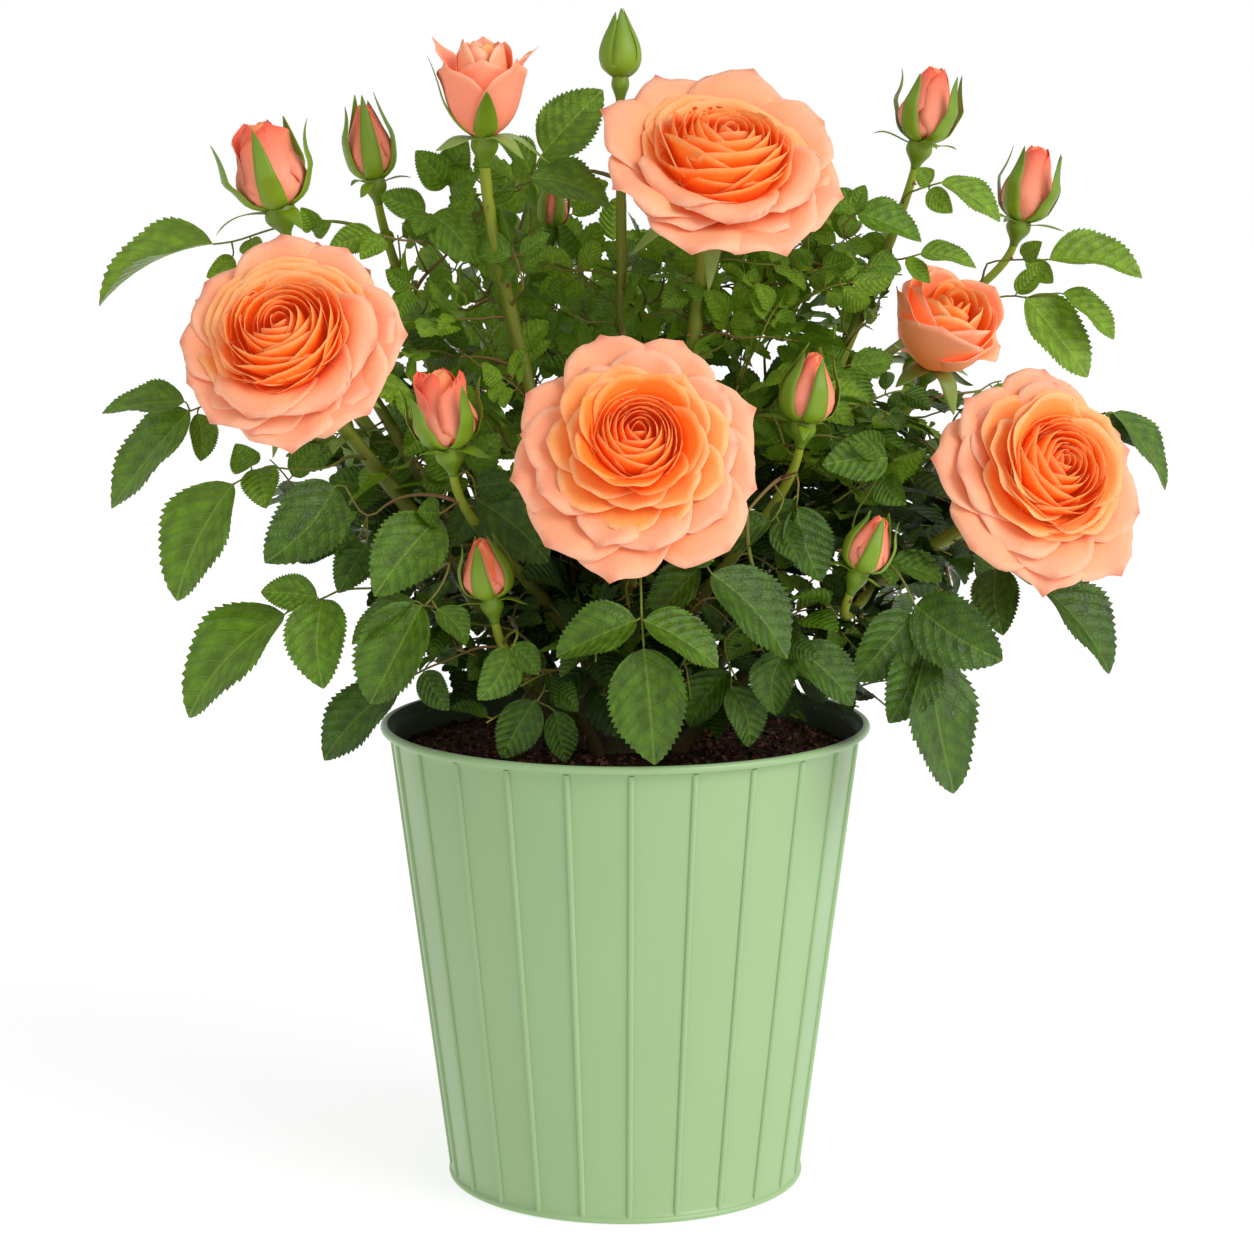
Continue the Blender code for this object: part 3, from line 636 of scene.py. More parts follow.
# kind, foot of the head, way it faces, radius, length, what its cane leaves, and the azimuth there
# or the share of that cane's length
flowers = {
    "bloom_left": ("bloom", (-0.128, -0.036, 0.339), (-0.13, -0.86, 0.52), 0.0450, 0.044, "soil", 207),
    "bloom_centre": ("bloom", (0.004, -0.076, 0.300), (0.04, -0.91, 0.50), 0.0480, 0.044, "stock", 270),
    "bloom_top": ("bloom", (0.035, 0.002, 0.399), (0.15, -0.67, 0.74), 0.0480, 0.050, "stock", 0),
    "bloom_right": ("bloom", (0.159, -0.007, 0.283), (0.39, -0.80, 0.42), 0.0460, 0.044, "soil", 326),
    "bloom_back": ("bloom", (0.006, 0.112, 0.286), (0.05, 0.85, 0.52), 0.0440, 0.044, "soil", 86),
    "bloom_back_left": ("bloom", (-0.134, 0.094, 0.330), (-0.45, 0.74, 0.50), 0.0410, 0.042, "soil", 134),
    "half_open_left": (
        "half_open", (-0.056, 0.000, 0.426), (0.00, -0.15, 0.99), 0.0178, 0.038, "stock", 180),
    "half_open_right": ("half_open", (0.127, 0.055, 0.331), (0.28, -0.50, 0.82), 0.0225, 0.038, "soil", 33),
    "half_open_back": ("half_open", (0.128, 0.128, 0.325), (0.35, 0.45, 0.82), 0.0190, 0.036, "soil", 58),
    "bud_far_left": ("bud", (-0.137, -0.010, 0.398), (-0.24, -0.10, 0.97), 0.0145, 0.034, "soil", 182),
    "bud_left": ("bud", (-0.102, 0.030, 0.408), (-0.14, -0.05, 0.99), 0.0097, 0.031, "soil", 158),
    "bud_top": ("bud", (-0.002, 0.020, 0.449), (0.00, 0.00, 1.00), 0.0078, 0.026, "stock", 90),
    "bud_right": ("bud", (0.120, 0.030, 0.423), (0.20, -0.05, 0.98), 0.0115, 0.030, "soil", 8),
    "bud_far_right": (
        "bud", (0.170, 0.110, 0.388), (0.24, -0.05, 0.97), 0.0115, 0.032, "half_open_right", 0.45),
    "bud_front_left": ("bud", (-0.068, -0.060, 0.308), (-0.13, -0.15, 0.98), 0.0125, 0.030, "stock", 225),
    "bud_low_left": ("bud", (-0.052, -0.070, 0.251), (-0.16, -0.15, 0.97), 0.0100, 0.024, "soil", 244),
    "bud_front_right": ("bud", (0.070, -0.040, 0.316), (0.15, -0.10, 0.98), 0.0110, 0.028, "stock", 315),
    "bud_low_right": (
        "bud", (0.091, -0.060, 0.260), (0.36, -0.10, 0.93), 0.0090, 0.023, "bloom_right", 0.45),
    "bud_back": ("bud", (0.030, 0.120, 0.405), (0.05, 0.15, 0.99), 0.0100, 0.028, "soil", 108),
}
cane = {
    "stockHeight": 0.020, "stockTop": 0.0180, "stockFoot": 0.0205, "stockRing": 0.0126, "soilRing": 0.0275,
    "footRadius": 0.0042, "topRadius": {"bloom": 0.0027, "half_open": 0.0024, "bud": 0.0019},
    "branchRadius": 0.0026, "neck": {"bloom": 0.028, "half_open": 0.030, "bud": 0.030},
    "lean": 0.42, "spread": 0.30, "straight": 0.60,
    "gap": 0.0003, "sides": 12, "rows": 64, "sunk": {"soil": 0.009, "stock": 0.007, "limb": 0.0035},
    "slim": 0.9, "knot": 0.021}
thorn = {"density": 3600.0, "length": 0.0026, "hang": 0.25, "seed": 11}


def hipLength(kind, radius):
    return 0.36 * radius + 0.0055 if kind == "bud" else 0.011


def caneRoute(start, outward, flower):
    kind, foot, facing, radius = flower[:4]
    facing = unit(facing)
    end = np.array(foot) - facing * (hipLength(kind, radius) + 2 * cane["gap"])
    reach = np.linalg.norm(end - start)
    return start, start + outward * reach * cane["lean"], end - facing * cane["neck"][kind], end


def planCanes():
    plans = {}
    base = soilHeight(0.0) + cane["gap"]
    for name, flower in sorted(flowers.items(), key=lambda item: item[1][5] in flowers):
        kind, foot, origin, at = flower[0], np.array(flower[1]), flower[5], flower[6]
        if origin in flowers:
            route, low, high = plans[origin]
            here, before, after = (bezier(route, at + step)[0] for step in (0, -0.02, 0.02))
            along = unit(after - before)
            sideways = unit((foot - here) - along * np.dot(foot - here, along))
            outward = unit(0.8 * sideways + 0.6 * along)
            clear = 0.85 * mix(low, high, at) + cane["branchRadius"] * np.dot(outward, along)
            clear = clear + 2 * cane["gap"]
            start = here + outward * clear / np.dot(outward, sideways)
            footRadius = cane["branchRadius"]
        else:
            ring, height = cane["soilRing"], 0.0
            if origin == "stock":
                ring, height = cane["stockRing"], cane["stockHeight"]
            out = np.array((math.cos(math.radians(at)), math.sin(math.radians(at)), 0.0))
            lean = cane["spread"] * (0.5 if origin == "stock" else 1.0)
            outward = unit(out * lean + (0, 0, 1))
            straight = unit(foot - out * ring - (0, 0, base + height))
            outward = unit(mix(outward, straight, cane["straight"]))
            lift = cane["footRadius"] * math.hypot(outward[0], outward[1])
            start = out * ring + (0, 0, base + height + lift)
            footRadius = cane["footRadius"] * (0.8 if kind == "bud" else 1.0)
        plans[name] = (caneRoute(start, outward, flower), footRadius, cane["topRadius"][kind])
    return plans


def makeCanes(plans):
    heap = newHeap()
    for number, (name, (route, low, high)) in enumerate(plans.items()):
        origin = flowers[name][5]
        share = np.linspace(0, 1, cane["rows"])
        path = bezier(route, share)
        # its foot runs on into the soil, the stock or the limb it leaves
        first = unit(path[1] - path[0])
        sunk = cane["sunk"].get(origin, cane["sunk"]["limb"])
        path = np.concatenate([path[:1] - first * sunk, path])
        radii = cane["slim"] * np.concatenate([[low * 1.12], mix(low, high, share)])
        length = np.linalg.norm(np.diff(path, axis=0), axis=1).sum()
        knots = max(4, round(length / cane["knot"]))
        phase = 1.7 * number

        def relief(turn, share, knots=knots, phase=phase):
            # swellings where leaves grew, ridges of old bark near the foot
            old = 1 - smooth(0.15, 0.6, share)
            fromKnot = (share * knots + 0.35 + 0.2 * np.sin(phase) + 0.5) % 1 - 0.5
            swell = np.exp(-fromKnot ** 2 / 0.012) * (share < 0.82)
            ridge = np.sin(5 * turn + 9 * share + phase) + 0.7 * np.sin(3 * turn - 23 * share)
            return 1 + 0.10 * swell + 0.045 * old * ridge + 0.02 * np.sin(2 * turn + 31 * share + phase)

        tube(heap, path, radii, cane["sides"], 0, relief)
    return heapObject("canes", heap, [caneBark], "cane")


def makeStock():
    base = soilHeight(0.0)
    high = base + cane["stockHeight"]
    profile = [(0.0, high - 0.0012), (0.008, high + 0.0002), (0.0145, high - 0.0006)]
    profile += circlePoints((cane["stockTop"] - 0.003, high - 0.003), 0.0032, 70, 0, 5)
    for share in np.linspace(0, 1, 12):
        wide = mix(cane["stockTop"] * 1.05, cane["stockFoot"], share)
        profile.append((wide, mix(high - 0.004, base, share)))
    profile += [(cane["stockFoot"] * 1.04, base - 0.003), (0.0, base - 0.003)]

    def burr(radius, height, turn):
        knobs = np.sin(5 * turn + 260 * height) * np.cos(3 * turn - 170 * height)
        knobs = knobs + 0.5 * np.sin(11 * turn + 60 * height)
        grain = 0.35 * np.sin(34 * turn + 3 * np.sin(300 * height))
        side = smooth(0.006, 0.016, radius)
        wide = radius * (1 + 0.055 * side * knobs + 0.02 * side * grain)
        return wide, height + 0.0008 * knobs * (1 - side)

    heap = newHeap()
    lathe(heap, profile, 96, [0] * (len(profile) - 1), burr)
    return heapObject("old_stock", heap, [oldBark], "cane")


def thornTree():
    tree, given, result = newTree("caneThorns", (
        ("density", "Float", 1.0), ("length", "Float", 0.003), ("seed", "Int", 0)))
    g = given.outputs
    spots = addNode(tree, "DistributePointsOnFaces", {
        "Mesh": g["Geometry"], "Density": g["density"], "Seed": g["seed"]})
    normal = spots.outputs["Normal"]
    lean = vectors(tree, "ADD", normal, (0, 0, -thorn["hang"]))
    aim = output(tree, "AlignRotationToVector", {"Vector": lean}, axis="Z")
    size = addNode(tree, "RandomValue", {2: 0.55, 3: 1.1, "Seed": g["seed"]}).outputs[1]
    size = sums(tree, "MULTIPLY", size, g["length"])
    spike = output(tree, "MeshCone", {
        "Vertices": 6, "Radius Top": 0.0, "Radius Bottom": 0.34, "Depth": 1.12})
    spike = output(tree, "Transform", {
        "Geometry": spike, "Translation": (0, 0, -0.12), "Scale": (0.7, 1.25, 1)})
    many = output(tree, "InstanceOnPoints", {
        "Points": spots.outputs[0], "Instance": spike, "Rotation": aim, "Scale": size})
    plain = output(tree, "RealizeInstances", {"Geometry": many})
    coat = output(tree, "SetMaterial", {"Geometry": plain, "Material": thornRed})
    tree.links.new(coat, result.inputs[0])
    return tree


canePlans = planCanes()
canes = makeCanes(canePlans)
thorns = grownPiece("cane_thorns", canes, thornTree(), thorn)
finishPiece(canes, "green_cane", *["cane_" + name for name in flowers])
finishPiece(makeStock(), "old_bark", "stock")
finishPiece(thorns, "green_cane")


def petalGrid(across, along, rounded=0.5):
    # a square grid drawn out to a rounded outline: x runs across, y from the foot to the lip
    p, q = np.meshgrid(np.linspace(-1, 1, across), np.linspace(-1, 1, along))
    return p * np.sqrt(1 - rounded * q * q), (q * np.sqrt(1 - rounded * p * p) + 1) / 2, p, q


def bladeGrid(across, along, point=0.75):
    # a grid for a sepal, broad at the foot and drawn out to a thin point
    p, q = np.meshgrid(np.linspace(-1, 1, across), np.linspace(-1, 1, along))
    y = (q + 1) / 2
    return p * np.maximum((1 - y) ** point * (0.72 + 0.9 * y - 0.5 * y * y), 0.03), y, p, q


flatPetal = {
    "hold": 0.45, "claw": 0.42, "wrap": 1.0, "rollSide": 0.0, "rollLip": 0.0, "ruffle": 0.0, "waves": 3.0,
    "phase": 0.0, "tilt": 0.0, "cusp": 0.0}


def petalSheet(shape, grid):
    # the middle sheet of one petal or sepal, in the flower's own frame
    shape = flatPetal | shape
    x, y, p, q = grid
    if "line" in shape:
        line = shape["line"]
    else:
        foot, lip = np.array(shape["foot"]), np.array(shape["lip"])  # (distance from the axis, height)
        span = np.linalg.norm(lip - foot)
        rise, lean = np.radians(shape["rise"]), np.radians(shape["lean"])
        outFoot = foot + np.array([math.sin(rise), math.cos(rise)]) * span * shape["hold"]
        toLip = lip - np.array([math.sin(lean), math.cos(lean)]) * span * 0.35
        line = bezier((foot, outFoot, toLip, lip), np.linspace(0, 1, 60))
    length = np.concatenate([[0], np.cumsum(np.linalg.norm(np.diff(line, axis=0), axis=1))])
    total = length[-1]
    want = np.clip(y, 0, 1) * total
    rad, high = np.interp(want, length, line[:, 0]), np.interp(want, length, line[:, 1])
    d = np.gradient(line, axis=0)
    angle = np.interp(want, length, np.unwrap(np.arctan2(d[:, 0], d[:, 1])))
    half = shape["width"] / 2 * mix(shape["claw"], 1.0, smooth(0.0, 0.55, y))
    across = x * half * 1.18
    wrap = np.maximum(rad * shape["wrap"], 0.0035)
    turn = np.clip(across / wrap, -2.6, 2.6)
    side, inward = wrap * np.sin(turn), wrap * (1 - np.cos(turn))
    roll = shape["rollSide"] * smooth(0.45, 1.0, np.abs(p)) * smooth(-0.5, 0.7, q) * half
    roll = roll + shape["rollLip"] * smooth(0.35, 1.0, q) ** 1.5 * total
    edge = smooth(0.2, 1.0, np.maximum(np.abs(p), q))
    ruffle = shape["ruffle"] * np.sin(shape["waves"] * p * math.pi + shape["phase"]) * edge
    tilt = shape["tilt"] * across * smooth(0.0, 0.6, y)
    cusp = shape["cusp"] * np.exp(-(p / 0.16) ** 2) * smooth(0.6, 1.0, q) * total
    off = inward - roll + ruffle + tilt
    r = rad - np.cos(angle) * off + np.sin(angle) * cusp
    z = high + np.sin(angle) * off + np.cos(angle) * cusp
    phi = math.radians(shape["azimuth"])
    sine, cosine = math.sin(phi), math.cos(phi)
    return np.stack([r * cosine - side * sine, r * sine + side * cosine, z], -1)


def addPetal(heap, shape, grid, thickness, slot, turned, origin):
    # two skins and the rim between them
    sheet = petalSheet(shape, grid)
    rows, columns = sheet.shape[:2]
    p, q = grid[2], grid[3]
    normal = unit(np.cross(np.gradient(sheet, axis=1), np.gradient(sheet, axis=0)))
    thin = thickness / 2 * mix(1.0, 0.35, smooth(0.7, 1.0, np.maximum(np.abs(p), np.abs(q))))[..., None]
    skins = sheet + normal * thin, sheet - normal * thin
    points = np.concatenate([skin.reshape(-1, 3) for skin in skins])
    count = rows * columns
    quads = gridFaces(rows, columns)[0]
    ring = list(range(columns)) + [r * columns + columns - 1 for r in range(1, rows)]
    ring += range(count - 2, count - columns - 1, -1)
    ring = np.array(ring + [r * columns for r in range(rows - 2, 0, -1)])
    after = np.roll(ring, -1)
    rim = np.stack([after, ring, ring + count, after + count], 1)
    faces = np.concatenate([quads, quads[:, ::-1] + count, rim])
    uv = np.stack([(grid[0] + 1) / 2, grid[1]], -1).reshape(-1, 2)
    uv = np.concatenate([uv, uv])[faces]
    pile(heap, points @ turned.T + origin, faces, uv, slot)


def headFrame(flower):
    return np.array(Vector(flower[2]).to_track_quat("Z", "Y").to_matrix()), np.array(flower[1])


# rings of petals from the outside in: count, radius, height, lean of the lip, rise of the foot, width,
# and for rings that don't go all the way round the first petal's azimuth and the step to the next
openRings = (
    (9, 1.00, 0.37, 99, 72, 0.76), (9, 0.84, 0.48, 90, 62, 0.58), (9, 0.70, 0.59, 78, 52, 0.53),
    (8, 0.585, 0.70, 62, 42, 0.52), (7, 0.495, 0.80, 42, 32, 0.56), (5, 0.372, 0.66, -4, 58, 0.80),
    (5, 0.325, 0.72, -10, 52, 0.76), (5, 0.278, 0.76, -14, 46, 0.68), (5, 0.228, 0.79, -18, 40, 0.58),
    (5, 0.175, 0.80, -20, 34, 0.46), (4, 0.125, 0.79, -20, 26, 0.36), (3, 0.08, 0.77, -18, 16, 0.26),
    (3, 0.04, 0.75, -14, 6, 0.16))
innerWide = (
    (5, 0.345, 0.79, -8, 52, 0.82), (5, 0.29, 0.83, -12, 44, 0.72), (4, 0.235, 0.855, -16, 38, 0.68),
    (4, 0.178, 0.86, -18, 30, 0.52), (4, 0.125, 0.855, -20, 22, 0.38), (3, 0.075, 0.84, -18, 14, 0.26),
    (3, 0.035, 0.82, -14, 6, 0.16))
wideRings = (
    (8, 1.00, 0.40, 99, 68, 0.88), (8, 0.85, 0.50, 92, 60, 0.72), (8, 0.71, 0.62, 78, 48, 0.64),
    (7, 0.59, 0.74, 60, 40, 0.66), (6, 0.50, 0.85, 38, 30, 0.70),
    (5, 0.395, 0.72, -2, 58, 0.90)) + innerWide
innerCup = (
    (5, 0.435, 0.80, -4, 52, 0.98), (5, 0.375, 0.86, -8, 46, 0.84), (5, 0.31, 0.90, -12, 40, 0.72),
    (5, 0.245, 0.91, -15, 34, 0.58), (4, 0.18, 0.91, -17, 26, 0.50), (4, 0.125, 0.90, -18, 18, 0.36),
    (3, 0.075, 0.885, -16, 10, 0.28), (3, 0.035, 0.87, -12, 4, 0.18))
cupRings = (
    (8, 1.00, 0.44, 98, 66, 0.84), (7, 0.87, 0.52, 92, 58, 0.74), (6, 0.75, 0.66, 74, 48, 0.74),
    (6, 0.64, 0.90, 42, 36, 0.82), (5, 0.57, 0.98, 24, 26, 0.86), (5, 0.49, 0.74, 6, 58, 1.08)) + innerCup
# a deep cup seen from the side: a collar in front, walls behind, two broad petals across the cup
sideRings = (
    (3, 1.00, 0.44, 98, 66, 0.90, -115, 46), (5, 1.01, 0.57, 90, 62, 0.84, 25, 44),
    (4, 0.90, 0.46, 86, 60, 0.80, 0, 60), (2, 0.90, 0.44, 98, 62, 0.72, -132, 78),
    (3, 0.80, 0.55, 148, 52, 0.80, -142, 51), (4, 0.75, 0.55, 62, 48, 0.84, 12, 52),
    (4, 0.665, 0.58, 50, 44, 0.84, 22, 45), (4, 0.585, 0.60, 40, 40, 0.84, 28, 41),
    (2, 0.53, 0.74, 14, 44, 0.72, -4, 188), (2, 0.50, 0.69, 6, 60, 1.30, -112, 44),
    (1, 0.47, 0.85, 2, 58, 1.30, -84, 0), (5, 0.435, 0.78, -4, 52, 0.98),
    (5, 0.375, 0.81, -8, 46, 0.84), (5, 0.31, 0.835, -12, 40, 0.72), (4, 0.245, 0.855, -15, 34, 0.66),
    (4, 0.18, 0.87, -17, 26, 0.50), (3, 0.12, 0.88, -18, 18, 0.42), (3, 0.06, 0.87, -14, 8, 0.22))
leftRings = (sideRings[0], (5, 0.94, 0.48, 92, 62, 0.80, 25, 44)) + sideRings[2:]
vaseRings = (
    (2, 1.05, 0.92, 44, 52, 1.15, 8, 164), (2, 0.95, 0.75, 10, 62, 1.50, -141, 102),
    (1, 0.62, 0.80, -2, 62, 1.60, -90, 0), (2, 0.56, 0.92, -6, 54, 1.50, 30, 120),
    (3, 0.46, 0.98, -12, 46, 1.10), (3, 0.34, 0.97, -14, 34, 0.85), (3, 0.22, 0.96, -14, 20, 0.60),
    (2, 0.11, 0.94, -10, 8, 0.32))
halfRings = (
    (4, 1.00, 0.86, 34, 62, 1.65), (4, 0.86, 0.90, 14, 56, 1.55), (3, 0.70, 0.96, 2, 48, 1.40),
    (3, 0.54, 1.00, -8, 40, 1.15), (3, 0.38, 0.99, -12, 30, 0.90), (3, 0.23, 0.97, -12, 18, 0.60),
    (2, 0.10, 0.94, -8, 8, 0.30))
looseRings = (
    (1, 1.06, 0.90, 12, 62, 1.30, 172, 0), (1, 1.12, 0.46, 86, 56, 1.55, -24, 0),
    (1, 0.98, 0.82, 0, 66, 1.90, -134, 0), (1, 0.92, 0.60, 6, 66, 1.55, -66, 0),
    (2, 0.90, 0.92, 10, 56, 1.45, 24, 74), (2, 0.78, 0.82, -4, 58, 1.45, -96, 70),
    (2, 0.74, 0.95, -4, 50, 1.30, 96, 82), (3, 0.62, 0.90, -10, 46, 1.15),
    (3, 0.50, 0.93, -12, 38, 0.95), (3, 0.38, 0.94, -14, 28, 0.72), (3, 0.25, 0.93, -14, 18, 0.50),
    (2, 0.12, 0.91, -8, 8, 0.30))
bloom = {
    "flat": 1.5, "rollSide": 0.18, "rollLip": 0.03, "cusp": 0.05, "thickness": 0.00045,
    "heartThickness": 0.0003, "sink": 0.0095, "uneven": 0.0007, "stack": 0.0004, "pair": 0.0011,
    "ruffle": 0.0014, "ruffleAt": 0.047}
# rings, seed, turn of the rings that have a place, how much further the lower petals hang,
# how much the heart leans back, how pointed the petals are and how far the heart sits above the middle
bloomStyles = {
    "bloom_left": (leftRings, 23, 30, 4, 0.26, 1, 0), "bloom_centre": (openRings, 11, 0, 10, 0, 1, 0.11),
    "bloom_top": (sideRings, 11, 0, 8, 0.30, 1, 0), "bloom_right": (cupRings, 7, 0, 40, 0, 1, 0.05),
    "bloom_back": (wideRings, 31, 0, 12, 0, 1, 0), "bloom_back_left": (sideRings, 41, -20, 8, 0.2, 1, 0),
    "half_open_left": (vaseRings, 3, 0, 0, 0, 2.0, 0), "half_open_right": (looseRings, 5, 0, 0, 0, 0.7, 0),
    "half_open_back": (halfRings, 9, 0, 0, 0, 1.5, 0)}
# the tone of a petal that lies more than this share of the radius out
toneSteps = {
    "bloom": ((0.77, 0), (0.51, 1), (0.14, 2), (0.0, 3)), "half_open": ((0.5, 3), (0.3, 0), (0.0, 1)),
    "half_open_right": ((0.7, 4), (0.4, 1), (0.0, 2))}
fineGrid, coarseGrid = petalGrid(13, 13, 0.44), petalGrid(9, 9, 0.32)


def ringPetals(style, radius, depth, half):
    rings, seed, start, droop, slope, point = style[:6]
    rng = np.random.default_rng(seed)
    azimuth = rng.uniform(0, 360)
    for count, at, height, lean, rise, width, *place in rings:
        azimuth += 180 / count + rng.uniform(-12, 12)
        first, step = (place[0] + start, place[1]) if place else (azimuth, 360 / count)
        for j in range(count):
            jit = rng.normal(0, 0.5 if place else 1, 6)
            turn = first + step * (j + 0.13 * jit[4])
            # petals on the underside hang open further than those above
            hang = droop * (1 - math.sin(math.radians(turn))) / 2 * float(smooth(0.50, 0.60, at))
            hang = hang * (1 if at < 0.8 else 0.3)
            rolled = lean > 120  # a petal whose lip turns right over
            back = slope * at * math.sin(math.radians(turn - start)) if at < 0.46 else 0.0
            high = height - back - bloom["sink"] * hang * (at < 0.8)
            high = depth * high + bloom["uneven"] * jit[1] * at
            high = high - bloom["stack"] * j / count + bloom["pair"] * (j % 2) * (at > 0.8)
            swing = (3 if half else 6) * jit[2] * at
            shape = {
                "azimuth": turn, "foot": (mix(0.0010, 0.0040, at), mix(0.0015, 0.0, at)),
                "lip": (radius * at * (1 + 0.035 * jit[0]), high),
                "rise": rise, "lean": lean if rolled else min(lean + hang + swing, 114),
                "hold": 0.62 if rolled else 0.45,
                "width": radius * width * (1 + 0.05 * jit[3]),
                "wrap": 1.0 if half else mix(1.0, bloom["flat"], at ** 1.5),
                "rollSide": mix(0.02, bloom["rollSide"] * (0.5 if half else 1), at),
                "rollLip": mix(0.0, bloom["rollLip"], at),
                "ruffle": bloom["ruffle"] * at * at * radius / bloom["ruffleAt"],
                "phase": rng.uniform(0, 6.28), "waves": rng.uniform(0.9, 1.8), "tilt": mix(0.12, 0.08, at),
                "cusp": bloom["cusp"] * at * at * max(0.0, 1 + 0.5 * jit[5]) * point}
            yield at, shape


def addRose(heap, name):
    flower = flowers[name]
    kind, radius, depth = flower[0], flower[3], flower[4]
    turned, origin = headFrame(flower)
    for at, shape in ringPetals(bloomStyles[name], radius, depth, kind == "half_open"):
        grid, thickness = coarseGrid, bloom["heartThickness"]
        if at > 0.4:
            grid, thickness = fineGrid, bloom["thickness"]
        raised = turned @ np.array((0.0, bloomStyles[name][6] * radius * max(0.0, 1 - at / 0.8), 0.0))
        tone = next(tone for least, tone in toneSteps.get(name, toneSteps[kind]) if at > least)
        addPetal(heap, shape, grid, thickness, tone, turned, origin + raised)


def namesOf(kind):
    return [name for name, flower in flowers.items() if flower[0] == kind]


for name in namesOf("bloom"):
    heap = newHeap()
    addRose(heap, name)
    finishPiece(heapObject("petals_" + name, heap, petalTones, "petal"), "rose_petal", name)
heap = newHeap()
for name in namesOf("half_open"):
    addRose(heap, name)
cups = heapObject("petals_half_open", heap, petalTones[:3] + [blushPetal, cupPetal], "petal")
finishPiece(cups, "rose_petal", *namesOf("half_open"))

# closed buds: how the sepals hold the petals
budStyles = {
    "bud_far_left": ("loose", 1), "bud_left": ("tight", 2), "bud_top": ("closed", 3),
    "bud_right": ("showing", 4), "bud_far_right": ("showing", 5), "bud_front_left": ("loose", 6),
    "bud_low_left": ("tight", 7), "bud_front_right": ("tight", 8), "bud_low_right": ("tight", 9),
    "bud_back": ("showing", 10)}
budSettings = {  # petal height, sepal cover as a share of the length, width of a sepal, spread of its tip
    "loose": (1.00, 0.50, 0.80, 0.34), "showing": (1.00, 0.56, 0.84, 0.30),
    "tight": (0.97, 0.66, 0.98, 0.20), "closed": (0.66, 0.74, 1.80, 0.05)}
halfSepals = {"half_open_left": ((-85, 0.30), (184, 0.62))}
budShape = {  # petals, size and height of each layer, then how petals stand off
    "layers": ((4, 0.96, 0.97), (3, 0.88, 1.0), (3, 0.72, 1.0)), "letGo": 0.42, "opened": 0.16,
    "width": 2.3, "thickness": 0.0003}
sepal = {
    "number": 5, "thickness": 0.00045, "off": 0.0004, "cupShare": 0.82, "width": 0.0100,
    "hanging": {"bloom": 5, "half_open": 4, "bud": 3}, "length": {"bloom": 0.026, "half_open": 0.0190}}
budGrid, sepalGrid = petalGrid(9, 9), bladeGrid(5, 15)


def budProfile(share, radius, length):
    # a teardrop that is widest a third of the way up
    at = (0.0, 0.06, 0.15, 0.27, 0.38, 0.5, 0.62, 0.74, 0.85, 0.94, 1.0)
    wide = (0.40, 0.68, 0.90, 0.995, 0.99, 0.90, 0.74, 0.55, 0.37, 0.22, 0.10)
    return np.stack([np.interp(share, at, wide) * radius, np.asarray(share) * length], -1)


def addBud(heap, radius, length, style, seed, turned, origin):
    rng = np.random.default_rng(seed)
    height = budSettings[style][0]
    azimuth = rng.uniform(0, 360)
    for layer, (count, size, top) in enumerate(budShape["layers"]):
        for j in range(count):
            share = np.linspace(0.02, top * height, 40)
            line = budProfile(share, radius * size, length)
            if style == "loose" and layer == 0 and j in (0, 2):
                line[:, 0] += radius * budShape["letGo"] * smooth(0.45, 1.0, share / height)
            if style in ("loose", "showing"):
                line[:, 0] += radius * budShape["opened"] * smooth(0.6, 1.0, share) * (1.3 - 0.3 * layer)
            shape = {
                "azimuth": azimuth + 360 * j / count + rng.uniform(-8, 8) + 40 * layer, "line": line,
                "width": radius * size * budShape["width"], "claw": 0.8, "tilt": 0.13,
                "cusp": 0.05 if layer == 0 else 0.0,
                "rollLip": 0.012, "rollSide": 0.02, "ruffle": 0.0002, "phase": rng.uniform(0, 6)}
            slot = 0 if layer == 0 else 1
            addPetal(heap, shape, budGrid, budShape["thickness"], slot, turned, origin)


